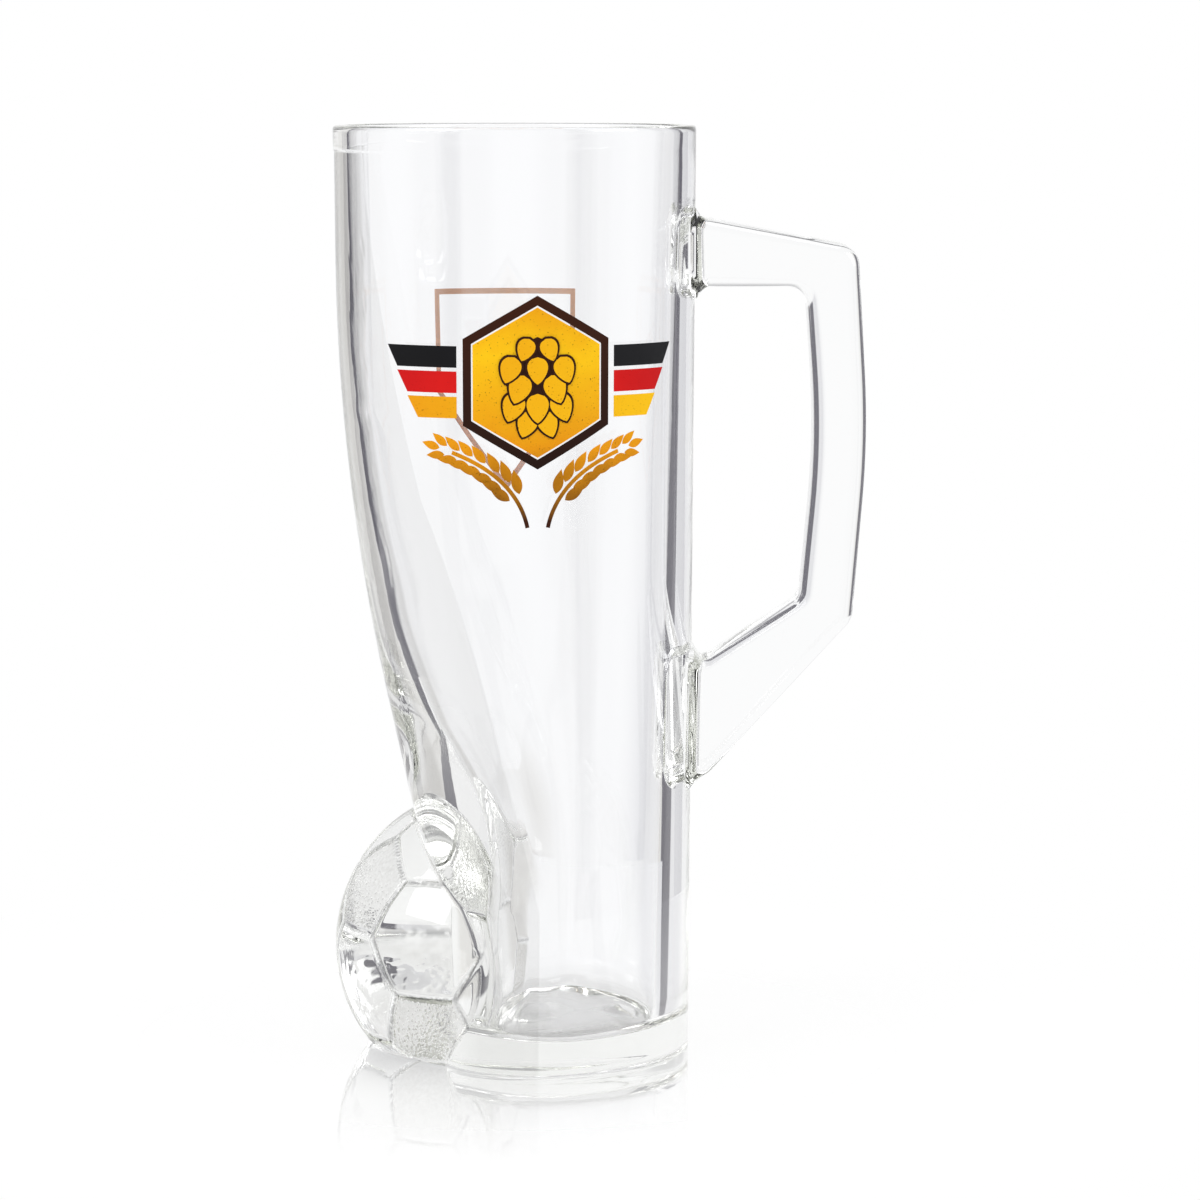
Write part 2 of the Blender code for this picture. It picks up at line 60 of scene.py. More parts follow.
# %% Sizes from the frame
MM = 0.001
body_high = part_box("glass_body")[1]
ball_low, ball_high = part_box("football")
handle_low, handle_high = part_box("handle")
MUG_HEIGHT = body_high.z
RIM_RADIUS = body_high.x
BALL_RADIUS = (ball_high.y - ball_low.y) / 2.0
BALL_X = ball_low.x + BALL_RADIUS
HANDLE_TOP = handle_high.z
HANDLE_OUTSIDE = handle_high.x
HANDLE_THICKNESS = handle_high.y - handle_low.y
print("height, rim radius and ball radius in mm:", MUG_HEIGHT / MM, RIM_RADIUS / MM, BALL_RADIUS / MM)

# %% Sizes of the barrel, the leg and the cavity
FOOT_RADIUS = 38.65 * MM
RIM_WALL = 3.4 * MM
FOOT_WALL = 7.6 * MM
FLOOR_THICKNESS = 6.0 * MM
FLOOR_ROUND = 2.8 * MM
FOOT_ROUND = 1.0 * MM
LEG_EDGE = MUG_HEIGHT - 5.5 * MM
LEG_PANEL_DEPTH = 0.2 * MM
LEG_SWEEP_START = MUG_HEIGHT - 28.0 * MM
LEG_SWEEP_DEPTH = 21.3 * MM
LEG_ANKLE = 36.0 * MM
LEG_CURVE = 43.3 * MM
SHIN_TOP = MUG_HEIGHT - 80.0 * MM
LEG_TOP_CREASE = math.radians(36.0)
LEG_CREASE_EASE = 1.3
LEG_ANKLE_FULLNESS = 4.0
LEG_SQUARING = 40.0 * MM
NEWTON_STEPS = 24
CAVITY_SWEEP_START = MUG_HEIGHT - 41.0 * MM
CAVITY_SWEEP_DEPTH = 19.5 * MM
CAVITY_ANKLE = 58.0 * MM
CAVITY_DRAFT = math.radians(2.0)
ANKLE_EASE = 5.0 * MM
CAVITY_CURVE = 38.5 * MM
BALL_Z = 22.2 * MM

# %% [markdown]
# ## Sections of the glass
# In plan the mug is round, cut on the left by a flatter front. The front is a circle above the shin and a
# squarer oval at the ankle, and each has one distance from the axis in every direction. The smaller of
# the two distances is the skin. The football is one more circle, and there the larger distance wins.
# Softened minimum and maximum functions round the crease and fill the valley, as hot glass does.


# %% Small formulas
def mix(first, second, share):
    """The value that lies a share of the way from the first to the second."""
    return first + (second - first) * share


def smooth_step(value, low, high):
    """0 below low, 1 above high, and the cubic 3s^2 - 2s^3 between."""
    share = np.clip((value - low) / (high - low), 0.0, 1.0)
    return share * share * (3.0 - 2.0 * share)


def soft_max(first, second, ease):
    """The larger value, plus a parabola of the overlap where the two lie within the ease of each other."""
    overlap = np.maximum(ease - np.abs(first - second), 0.0) / ease
    return np.maximum(first, second) + overlap**2 * ease / 4.0


def soft_min(first, second, ease):
    """The smaller value, less the same parabola."""
    return -soft_max(-first, -second, ease)


# %% Outlines by height
def barrel_radius(height):
    """Outer radius: a straight taper from the foot to the rim."""
    return mix(FOOT_RADIUS, RIM_RADIUS, height / MUG_HEIGHT)


def cavity_radius(height):
    """Radius of the cavity: the barrel less a wall that thins towards the rim."""
    share = (height - FLOOR_THICKNESS) / (MUG_HEIGHT - FLOOR_THICKNESS)
    return barrel_radius(height) - mix(FOOT_WALL, RIM_WALL, share)


def sweep_depth(height, start, depth, ankle):
    """A parabola that is nothing at the start and full at the ankle, and stays full below it."""
    share = np.clip((start - np.maximum(height, ankle)) / (start - ankle), 0.0, None)
    return depth * share**2


def leg_front(height):
    """X of the leg's foremost line: the barrel, less the panel's depth and the sweep."""
    depth = sweep_depth(height, LEG_SWEEP_START, LEG_SWEEP_DEPTH, LEG_ANKLE)
    return LEG_PANEL_DEPTH + depth - barrel_radius(np.maximum(height, LEG_ANKLE))


def cavity_front(height):
    """X of the cavity's foremost line: the sweep, rounded into a slightly leaning line below the ankle."""
    share = np.clip((CAVITY_SWEEP_START - height) / (CAVITY_SWEEP_START - CAVITY_ANKLE), 0.0, None)
    swept = CAVITY_SWEEP_DEPTH * share**2 - cavity_radius(height)
    lean = (CAVITY_ANKLE - height) * math.tan(CAVITY_DRAFT)
    upright = CAVITY_SWEEP_DEPTH + lean - cavity_radius(CAVITY_ANKLE)
    return soft_min(swept, upright, ANKLE_EASE)


wall_heights = np.array([FLOOR_THICKNESS, MUG_HEIGHT])
walls = barrel_radius(wall_heights) - cavity_radius(wall_heights)
print("wall at the floor and at the rim in mm:", (walls / MM).round(2))


# %% Crease and front of the leg
def crease_angle(round_radius, front, curve):
    """Angle from -X where two circles meet: x = (c^2 + R^2 - r^2) / 2c for centres c apart."""
    centre = front + curve
    x = (centre**2 + round_radius**2 - curve**2) / (2.0 * centre)
    return np.arccos(np.clip(-x / round_radius, -1.0, 1.0))


def leg_crease(height):
    """Crease of the leg: where the circles meet on the shin, then drawn together towards the top edge."""
    shin = crease_angle(barrel_radius(height), leg_front(height), LEG_CURVE)
    shin_end = crease_angle(barrel_radius(SHIN_TOP), leg_front(SHIN_TOP), LEG_CURVE)
    left = np.clip((LEG_EDGE - height) / (LEG_EDGE - SHIN_TOP), 0.0, 1.0)
    return np.where(height <= SHIN_TOP, shin, mix(LEG_TOP_CREASE, shin_end, left**LEG_CREASE_EASE))


def leg_curve(height):
    """Radius of the front arc through the creases: (half width^2 + depth^2) / (2 depth)."""
    crease = leg_crease(height)
    half_width = barrel_radius(height) * np.sin(crease)
    depth = -barrel_radius(height) * np.cos(crease) - leg_front(height)
    return np.where(height <= SHIN_TOP, LEG_CURVE, (half_width**2 + depth**2) / (2.0 * depth))


def circle_reach(turn, centre, radius):
    """Distance from the axis to a circle with its centre on X: -c cos(t) + sqrt(R^2 - c^2 sin(t)^2)."""
    under_root = radius**2 - (centre * np.sin(turn)) ** 2
    return np.sqrt(np.maximum(under_root, 0.0)) - centre * np.cos(turn)


def leg_fullness(height):
    """Power of the front oval: squarer at the ankle, and 2, a plain circle, a little way above it."""
    return mix(LEG_ANKLE_FULLNESS, 2.0, smooth_step(height, LEG_ANKLE, LEG_ANKLE + LEG_SQUARING))


def front_reach(height, turn):
    """Distance from the axis to the leg's front, the oval |(x - c) / a|^n + |y / b|^n = 1.

    The half length a is the front arc's radius, and the half width b carries the oval through both
    creases. The sum is convex along a ray, so Newton's steps from outside never pass the answer.
    """
    curve = leg_curve(height)
    centre = leg_front(height) + curve
    power = leg_fullness(height)
    crease = leg_crease(height)
    crease_share = np.maximum(centre + barrel_radius(height) * np.cos(crease), 0.0) / curve
    width = barrel_radius(height) * np.sin(crease) / (1.0 - crease_share**power) ** (1.0 / power)
    cosine = np.cos(turn)
    sine = np.abs(np.sin(turn))
    reach = curve + np.abs(centre) + 0.0 * turn
    for _ in range(NEWTON_STEPS):
        ahead = (centre + reach * cosine) / curve
        aside = reach * sine / width
        excess = np.abs(ahead) ** power + aside**power - 1.0
        slope = np.sign(ahead) * np.abs(ahead) ** (power - 1.0) * cosine / curve
        slope = slope + aside ** (power - 1.0) * sine / width
        reach = reach - excess / (power * slope)
    return reach


sample_heights = np.array([199.0, 122.0, 60.0, 36.0]) * MM
print("crease in degrees:", np.degrees(leg_crease(sample_heights)).round(1))
print("leg front in mm:", (leg_front(sample_heights) / MM).round(1))

# %% [markdown]
# ## The football's seams
# A football is a cut icosahedron: 12 pentagons and 20 hexagons. A seam could be drawn edge by edge, but
# one rule finds them all. Each panel is a plane, the panel over a point is the one whose plane a ray
# towards the point leaves last, and a seam is where the two best panels tie.

# %% Panels of the football
RING_HEIGHT = 1.0 / math.sqrt(5.0)
RING_TURN = math.radians(-150.6)
NEIGHBOUR_COSINE = 0.4
PENTAGON_DISTANCE = 0.93924
HEXAGON_DISTANCE = 0.91496
SEAM_DEPTH = 0.42 * MM
SEAM_WIDTH = 0.46 * MM


def panel_axes():
    """Unit axes of the panels: pentagons at an icosahedron's corners, hexagons at its face centres."""
    ring = RING_TURN + np.arange(5) * 2.0 * math.pi / 5.0
    radius = math.sqrt(1.0 - RING_HEIGHT**2)
    upper = np.stack([radius * np.cos(ring), radius * np.sin(ring), np.full(5, RING_HEIGHT)], axis=1)
    poles = np.array([[0.0, 0.0, 1.0], [0.0, 0.0, -1.0]])
    corners = np.vstack([poles, upper, -upper])
    triples = np.array(list(itertools.combinations(range(12), 3)))
    near = corners @ corners.T > NEIGHBOUR_COSINE
    first, second, third = triples.T
    touching = near[first, second] & near[second, third] & near[first, third]
    centres = corners[triples[touching]].sum(axis=1)
    centres /= np.linalg.norm(centres, axis=1, keepdims=True)
    return corners, centres


pentagon_axes, hexagon_axes = panel_axes()
panel_normals = np.vstack([pentagon_axes / PENTAGON_DISTANCE, hexagon_axes / HEXAGON_DISTANCE])
print("pentagons and hexagons:", len(pentagon_axes), len(hexagon_axes))


def seam_distance(directions):
    """Distance to the nearest seam on the ball, and whether the panel is a pentagon.

    The two largest products of direction and panel normal are compared. Their difference, divided by
    the distance between the two normals, is the distance to the plane in which they tie.
    """
    products = directions @ panel_normals.T
    order = np.argsort(products, axis=-1)
    best = order[..., -1]
    second = order[..., -2]
    ranked = np.sort(products, axis=-1)
    lead = ranked[..., -1] - ranked[..., -2]
    apart = np.linalg.norm(panel_normals[best] - panel_normals[second], axis=-1)
    return BALL_RADIUS * lead / apart, best < len(pentagon_axes)


def ball_reach(turn, height):
    """Distance from the axis to the ball, whose radius is less by a rounded groove along each seam."""
    level = np.clip(height - BALL_Z, -BALL_RADIUS, BALL_RADIUS) + 0.0 * turn
    plain = circle_reach(turn, BALL_X, np.sqrt(BALL_RADIUS**2 - level**2))
    on_ball = np.stack([-plain * np.cos(turn) - BALL_X, -plain * np.sin(turn), level], axis=-1)
    on_ball /= np.linalg.norm(on_ball, axis=-1, keepdims=True)
    groove = SEAM_DEPTH * np.exp(-((seam_distance(on_ball)[0] / SEAM_WIDTH) ** 2))
    radius = np.sqrt(np.maximum((BALL_RADIUS - groove) ** 2 - level**2, 0.0))
    return circle_reach(turn, BALL_X, radius)


# %% [markdown]
# ## Relief on the leg
# The mould leaves a faint relief on the leg: an oval boss, and a stem with pairs of leaves above and
# below it. A bump could draw them, but glass shows a bump only as a shade, and a real rise bends the
# light behind it. So the relief is a small height added to the skin.

# %% Relief of the leg
RELIEF_HEIGHT = 0.02 * MM
BOSS_HEIGHT = 110.0 * MM
BOSS_ACROSS = 21.0 * MM
BOSS_HALF_WIDTH = 6.6 * MM
BOSS_HALF_HEIGHT = 11.0 * MM
BOSS_RIDGES = ((0.92, 0.09, 1.0), (0.6, 0.08, 0.7))
BOSS_DOME = (-0.4, -0.1)
BOSS_DOME_RISE = 0.6
BOSS_CLEARANCE = (1.05, 1.2)
LEAF_SPACING = 12.5 * MM
LEAF_LENGTH = 5.2 * MM
LEAF_WIDTH = 1.9 * MM
LEAF_LEAN = math.radians(38.0)
LEAF_MIDDLE = 0.55
LEAF_SHOULDER = 0.35
VEIN_WIDTH = 0.4 * MM
VEIN_DEPTH = 0.6
STEM_WIDTH = 0.55 * MM
STEM_RISE = 0.7
STEM_LOW = 64.0 * MM
STEM_HIGH = 186.0 * MM
STEM_FADE = 4.0 * MM


def ridge(value, width):
    """A rounded ridge along the zero of a value: exp(-(value / width)^2)."""
    return np.exp(-((value / width) ** 2))


def leg_relief(across, height):
    """Height of the relief over the leg, alike on both sides of its foremost line.

    Ovals of equal distance from the boss's middle carry two ridges and a domed centre. Leaves are
    pointed ovals repeated up a stem, and they fade where the boss lies.
    """
    side = np.abs(across)
    oval = np.hypot((side - BOSS_ACROSS) / BOSS_HALF_WIDTH, (height - BOSS_HEIGHT) / BOSS_HALF_HEIGHT)
    boss = BOSS_DOME_RISE * smooth_step(-oval, *BOSS_DOME)
    for place, width, rise in BOSS_RIDGES:
        boss = boss + rise * ridge(oval - place, width)
    beside = side - BOSS_ACROSS
    off_stem = np.abs(beside)
    up_stem = (height + LEAF_SPACING / 2.0) % LEAF_SPACING - LEAF_SPACING / 2.0
    tall = up_stem * math.cos(LEAF_LEAN) + off_stem * math.sin(LEAF_LEAN) - LEAF_LENGTH * LEAF_MIDDLE
    wide = off_stem * math.cos(LEAF_LEAN) - up_stem * math.sin(LEAF_LEAN)
    leaf = smooth_step(1.0 - (tall / LEAF_LENGTH) ** 2 - np.abs(wide) / LEAF_WIDTH, 0.0, LEAF_SHOULDER)
    vein = 1.0 - VEIN_DEPTH * ridge(wide, VEIN_WIDTH)
    stem = STEM_RISE * ridge(beside, STEM_WIDTH)
    inside = smooth_step(height, STEM_LOW, STEM_LOW + STEM_FADE)
    inside = inside * smooth_step(-height, -STEM_HIGH, STEM_FADE - STEM_HIGH)
    spray = np.maximum(leaf * vein, stem) * inside * smooth_step(oval, *BOSS_CLEARANCE)
    return RELIEF_HEIGHT * np.maximum(boss * (oval < BOSS_CLEARANCE[1]), spray)


print("relief in the middle of the boss in mm:", leg_relief(BOSS_ACROSS, BOSS_HEIGHT) / MM)


# %% [markdown]
# ## The skin of the mug
# The whole vessel is one grid. Its rows run from the middle of the underside out to the foot, up the
# outside, over the lip and down the cavity to the middle of the floor. Its columns are shared out
# between the leg and the round side, so that one column follows each crease. The football needs small
# cells and the cavity doesn't, so the columns halve twice on the way.

# %% Skin outside
LEG_COLUMNS = 400
ROUND_COLUMNS = 96
BALL_ROWS = 110
LEG_ROWS = 84
FOOT_ROWS = 5
BASE_ROWS = 4
LIP_ROWS = 16
LIP_FULLNESS = 4.0
BALL_TOP = BALL_Z + BALL_RADIUS
CREASE_ROUND = 0.5 * MM
VALLEY_ROUND = 0.5 * MM
LEDGE_HALF = 0.35 * MM
LEDGE_ROWS = 7
RIM_BAND_ROWS = 4
RELIEF_EDGE = 0.05
RELIEF_FADE = 4.0 * MM


def column_turns(crease, halvings):
    """Angles from -X of every column: evenly over the leg, then evenly over the round side."""
    leg = np.linspace(-1.0, 1.0, LEG_COLUMNS >> halvings, endpoint=False)
    rest = np.linspace(0.0, 1.0, ROUND_COLUMNS >> halvings, endpoint=False)
    crease = crease[:, None]
    return np.hstack([crease * leg, crease + 2.0 * (math.pi - crease) * rest])


def outer_radius(height, turn):
    """Distance from the axis to the outside: the round side or the leg, the relief, then the ball."""
    rows = height[:, None]
    round_side = barrel_radius(rows)
    leg = soft_min(round_side, front_reach(rows, turn), CREASE_ROUND)
    below_edge = smooth_step(LEG_EDGE - rows, -LEDGE_HALF, LEDGE_HALF)
    skin = round_side - below_edge * (round_side - leg)
    flat_turn = (turn + math.pi) % (2.0 * math.pi) - math.pi
    within = smooth_step(leg_crease(height)[:, None] - np.abs(flat_turn), 0.0, RELIEF_EDGE)
    above_ball = smooth_step(rows, BALL_TOP, BALL_TOP + RELIEF_FADE)
    skin = skin + leg_relief(skin * flat_turn, rows) * within * above_ball
    ball = np.where(rows < BALL_TOP, ball_reach(turn, rows), 0.0)
    return soft_max(skin, ball, VALLEY_ROUND)


def cylinder_points(radius, turn, height):
    """Points from a distance, an angle from -X and a height."""
    return np.stack([-radius * np.cos(turn), -radius * np.sin(turn), height + 0.0 * turn], axis=-1)


# %% Rows of the outside and the lip
def outside_rows():
    """Two stacks of rows: fine ones from the foot to above the ball, then coarser ones to the lip."""
    bend = np.linspace(0.0, math.pi / 2.0, FOOT_ROWS, endpoint=False)
    foot_heights = FOOT_ROUND * (1.0 - np.cos(bend))
    fine_heights = np.concatenate([foot_heights, np.linspace(FOOT_ROUND, BALL_TOP, BALL_ROWS)])
    inset = np.concatenate([FOOT_ROUND * (1.0 - np.sin(bend)), np.zeros(BALL_ROWS)])
    turns = column_turns(leg_crease(fine_heights), 0)
    fine = cylinder_points(outer_radius(fine_heights, turns) - inset[:, None], turns, fine_heights[:, None])
    leg_heights = np.linspace(BALL_TOP, LEG_EDGE - 2.0 * LEDGE_HALF, LEG_ROWS)[1:]
    ledge_heights = LEG_EDGE + LEDGE_HALF * np.linspace(-1.0, 1.0, LEDGE_ROWS)
    rim_heights = np.linspace(LEG_EDGE + 2.0 * LEDGE_HALF, MUG_HEIGHT - RIM_WALL / 2.0, RIM_BAND_ROWS)
    heights = np.concatenate([leg_heights, ledge_heights, rim_heights])
    turns = column_turns(leg_crease(heights), 1)
    return fine, cylinder_points(outer_radius(heights, turns), turns, heights[:, None])


def lip_rows():
    """The lip: half a squarish oval |x|^n + |z|^n = 1, carried round the axis."""
    bend = np.linspace(0.0, math.pi, LIP_ROWS + 1)[1:]
    lip = RIM_WALL / 2.0
    turns = column_turns(np.full(LIP_ROWS, LEG_TOP_CREASE), 1)
    power = 2.0 / LIP_FULLNESS
    radius = RIM_RADIUS - lip + lip * np.sign(np.cos(bend)) * np.abs(np.cos(bend)) ** power
    height = MUG_HEIGHT - lip + lip * np.abs(np.sin(bend)) ** power
    return cylinder_points(radius[:, None] + 0.0 * turns, turns, height[:, None])


fine_rows, leg_rows = outside_rows()
rim_rows = lip_rows()
print("outside grids:", fine_rows.shape, leg_rows.shape, rim_rows.shape)

# %% Skin inside
CAVITY_ROWS = 56
FLOOR_BEND_ROWS = 9
FLOOR_ROWS = 10
FLOOR_CENTRE_X = 15.0 * MM
FLOOR_DOME = 0.9 * MM
FLOOR_WAVE = 0.7 * MM
FLOOR_WAVE_COUNT = 3
WAVE_SCALE = 256.0 / 27.0
CAVITY_CREASE_ROUND = 10.0 * MM
LEAST_CREASE_ROUND = 0.1 * MM
CREASE_ROUND_PER_DEPTH = 1.5


def cavity_reach(height, turn, inset):
    """Distance from the axis to the cavity wall, moved in by the inset.

    The crease is rounded in step with the sweep's depth, so the wall stays even above the sweep.
    """
    rows = height[:, None]
    depth = sweep_depth(rows, CAVITY_SWEEP_START, CAVITY_SWEEP_DEPTH, CAVITY_ANKLE)
    ease = np.clip(CREASE_ROUND_PER_DEPTH * depth, LEAST_CREASE_ROUND, CAVITY_CREASE_ROUND)
    front = circle_reach(turn, cavity_front(rows) + CAVITY_CURVE, CAVITY_CURVE - inset)
    return soft_min(cavity_radius(rows) - inset, front, ease)


def inside_rows():
    """Rows down the wall, round the corner at the floor, and over the domed floor to its middle."""
    bend = np.linspace(0.0, math.pi / 2.0, FLOOR_BEND_ROWS)
    wall_heights = np.linspace(MUG_HEIGHT - RIM_WALL / 2.0, FLOOR_THICKNESS + FLOOR_ROUND, CAVITY_ROWS)[1:-1]
    heights = np.concatenate([wall_heights, FLOOR_THICKNESS + FLOOR_ROUND * (1.0 - np.sin(bend))])
    inset = np.concatenate([np.zeros(len(wall_heights)), FLOOR_ROUND * (1.0 - np.cos(bend))])
    crease = crease_angle(cavity_radius(heights), cavity_front(heights), CAVITY_CURVE)
    turns = column_turns(np.maximum(crease, LEG_TOP_CREASE), 2)
    wall = cylinder_points(cavity_reach(heights, turns, inset[:, None]), turns, heights[:, None])
    middle = np.array([FLOOR_CENTRE_X, 0.0, FLOOR_THICKNESS])
    share = np.linspace(1.0, 0.0, FLOOR_ROWS + 1)[1:-1, None, None]
    floor = middle + (wall[-1] - middle) * share
    share = share[..., 0]
    bearing = np.arctan2(wall[-1, :, 1], wall[-1, :, 0] - FLOOR_CENTRE_X)
    wave = FLOOR_WAVE * np.sin(FLOOR_WAVE_COUNT * bearing) * WAVE_SCALE * share**3 * (1.0 - share)
    floor[..., 2] = FLOOR_THICKNESS + FLOOR_DOME * (1.0 - share**2) + wave
    return np.concatenate([wall, floor]), middle + np.array([0.0, 0.0, FLOOR_DOME])


def base_rows():
    """Rows of the flat underside, from near its middle out to the foot."""
    share = np.linspace(0.0, 1.0, BASE_ROWS + 1)[1:-1, None, None]
    return fine_rows[0] * share


cavity_rows, floor_middle = inside_rows()
underside_rows = base_rows()
print("inside grid:", cavity_rows.shape, "underside grid:", underside_rows.shape)


# %% Join the rows into one closed grid
def grid_cells(index, closed):
    """Quads between neighbouring rows and columns of an index grid, and round its end if it is closed."""
    right = np.roll(index, -1, axis=1)
    if not closed:
        index = index[:, :-1]
        right = right[:, :-1]
    return np.stack([index[:-1], right[:-1], right[1:], index[1:]], axis=-1).reshape(-1, 4)


def halving_cells(fine, coarse):
    """Triangles from a ring of columns to one with half as many: three for each pair."""
    even, odd = fine[0::2], fine[1::2]
    following = np.roll(even, -1)
    after = np.roll(coarse, -1)
    parts = [np.stack(corners, axis=-1) for corners in
             ((even, odd, coarse), (odd, following, after), (odd, after, coarse))]
    return np.concatenate(parts)


def fan_cells(ring, middle):
    """Triangles from a ring to one middle point."""
    return np.stack([ring, np.roll(ring, -1), np.full(len(ring), middle)], axis=-1)


def closed_mesh(name, points, cells):
    """A mesh from points and lists of cells, with every face turned outwards."""
    mesh = bpy.data.meshes.new(name)
    faces = [face for group in cells for face in group.tolist()]
    mesh.from_pydata(points.tolist(), [], faces)
    work = bmesh.new()
    work.from_mesh(mesh)
    bmesh.ops.recalc_face_normals(work, faces=work.faces)
    work.to_mesh(mesh)
    work.free()
    mesh.shade_smooth()
    return mesh


# %% The vessel
def vessel_mesh():
    """The vessel: every stack of rows numbered in turn, halved where the column count falls."""
    stacks = [np.concatenate([underside_rows, fine_rows]), np.concatenate([leg_rows, rim_rows]), cavity_rows]
    numbered = []
    count = 0
    for stack in stacks:
        numbered.append(np.arange(count, count + stack[..., 0].size).reshape(stack.shape[:2]))
        count += stack[..., 0].size
    middles = [np.zeros((1, 3)), floor_middle[None]]
    points = np.concatenate([stack.reshape(-1, 3) for stack in stacks] + middles)
    cells = [grid_cells(numbers, True) for numbers in numbered]
    cells.append(halving_cells(numbered[0][-1], numbered[1][0]))
    cells.append(halving_cells(numbered[1][-1], numbered[2][0]))
    cells.append(fan_cells(numbered[0][0], count))
    cells.append(fan_cells(numbered[2][-1], count + 1))
    return closed_mesh("vessel", points, cells)


vessel = bpy.data.objects.new("vessel", vessel_mesh())
bpy.context.collection.objects.link(vessel)
print("vessel faces:", len(vessel.data.polygons))

# %% [markdown]
# ## The handle
# The handle is a flat plate with rounded edges. It could be an extruded outline with a bevel, but its
# roots spread into the barrel like a poured pad, and a bevel can't do that. So a rounded oblong is
# carried between two rails, the outer and the inner outline. Near the barrel it grows, and its corners
# grow rounder.

# %% Rails of the handle
EDGE_ROUND = 3.0 * MM
GRIP_WIDTH = 11.4 * MM
GRIP_TOP_LEAN = 2.4 * MM
GRIP_FOOT_LEAN = 3.4 * MM
GRIP_BOW = HANDLE_TOP - 48.0 * MM
GRIP_FOOT = HANDLE_TOP - 88.6 * MM
GRIP_BOW_RADIUS = 200.0 * MM
TOP_ARM_DEPTH = 14.8 * MM
TOP_ARM_FALL = 6.2 * MM
LOW_ARM_INSIDE = HANDLE_TOP - 97.9 * MM
LOW_ARM_RISE = 13.9 * MM
LOW_ARM_DEPTH = 26.1 * MM
OUTER_CORNER = 5.0 * MM
INNER_CORNER = 4.5 * MM
ROOT_CORNER = 6.0 * MM
LEAST_BEND = 0.01 * MM
ROOT_OUT = 2.6 * MM
ROOT_FLARE = 2.8 * MM
ROOT_ROUNDING = 1.6
RUN_STATIONS = 18
ARC_STATIONS = 9
EDGE_STATIONS = 9


def rounded_rail(corners):
    """Points of a path with arcs at its inner corners, as many on every path with as many corners.

    A corner's arc touches both runs at radius / tan(half angle) from the corner, and its centre lies
    on the line that halves the angle, at radius / sin(half angle).
    """
    places = np.array([corner[:2] for corner in corners])
    stretches = []
    start = places[0]
    for before, here, after, (_, _, radius) in zip(places, places[1:], places[2:], corners[1:-1]):
        back = (before - here) / np.linalg.norm(before - here)
        ahead = (after - here) / np.linalg.norm(after - here)
        half = math.acos(np.clip(back @ ahead, -1.0, 1.0)) / 2.0
        centre = here + (back + ahead) / np.linalg.norm(back + ahead) * radius / math.sin(half)
        first = here + back * radius / math.tan(half)
        spoke = first - centre
        turn = (math.pi - 2.0 * half) * math.copysign(1.0, back[1] * ahead[0] - back[0] * ahead[1])
        angle = np.linspace(0.0, turn, ARC_STATIONS)[:, None]
        across = np.array([-spoke[1], spoke[0]])
        arc = centre + np.cos(angle) * spoke + np.sin(angle) * across
        stretches.append(mix(start, first, np.linspace(0.0, 1.0, RUN_STATIONS, endpoint=False)[:, None]))
        stretches.append(arc[:-1])
        start = arc[-1]
    stretches.append(mix(start, places[-1], np.linspace(0.0, 1.0, RUN_STATIONS)[:, None]))
    return np.concatenate(stretches)


def root_depth(height):
    """X inside the barrel's wall at which an arm ends, half way between the wall's two limits."""
    spread = HANDLE_THICKNESS / 2.0 + ROOT_FLARE
    return (cavity_radius(height) + math.sqrt(barrel_radius(height) ** 2 - spread**2)) / 2.0


def handle_rails():
    """The outer and the inner outline in X and Z, from the upper root to the lower one."""
    outside = HANDLE_OUTSIDE
    inside = outside - GRIP_WIDTH
    low = LOW_ARM_INSIDE - LOW_ARM_DEPTH
    upper_end = root_depth(HANDLE_TOP)
    lower_end = root_depth(LOW_ARM_INSIDE)
    upper_root = barrel_radius(HANDLE_TOP) + ROOT_OUT
    lower_root = barrel_radius(LOW_ARM_INSIDE) + ROOT_OUT
    under_arm = HANDLE_TOP - TOP_ARM_DEPTH
    outer = rounded_rail([
        (upper_end, HANDLE_TOP, 0.0),
        (upper_root, HANDLE_TOP, ROOT_CORNER),
        (outside - GRIP_TOP_LEAN, HANDLE_TOP - TOP_ARM_FALL, OUTER_CORNER),
        (outside, GRIP_BOW, GRIP_BOW_RADIUS),
        (outside - GRIP_FOOT_LEAN, GRIP_FOOT, OUTER_CORNER),
        (lower_root, low, ROOT_CORNER),
        (lower_end, low, 0.0),
    ])
    inner = rounded_rail([
        (upper_end, under_arm, 0.0),
        (upper_root, under_arm - LEAST_BEND, ROOT_CORNER),
        (inside - GRIP_TOP_LEAN, under_arm, INNER_CORNER),
        (inside, GRIP_BOW, GRIP_BOW_RADIUS - GRIP_WIDTH),
        (inside - GRIP_FOOT_LEAN, LOW_ARM_INSIDE + LOW_ARM_RISE, INNER_CORNER),
        (lower_root, LOW_ARM_INSIDE, ROOT_CORNER),
        (lower_end, LOW_ARM_INSIDE, 0.0),
    ])
    return outer, inner


outer_rail, inner_rail = handle_rails()
print("stations on each rail:", len(outer_rail), len(inner_rail))


# %% Carry the oblong between the rails
def root_spread(x, z, sideways):
    """Growth near the barrel: a bow that is the flare at the skin and nothing one flare out."""
    skin = np.sqrt(barrel_radius(z) ** 2 - sideways**2)
    out = np.clip((x - skin) / ROOT_FLARE, 0.0, 1.0)
    return ROOT_FLARE * (1.0 - out) ** 2


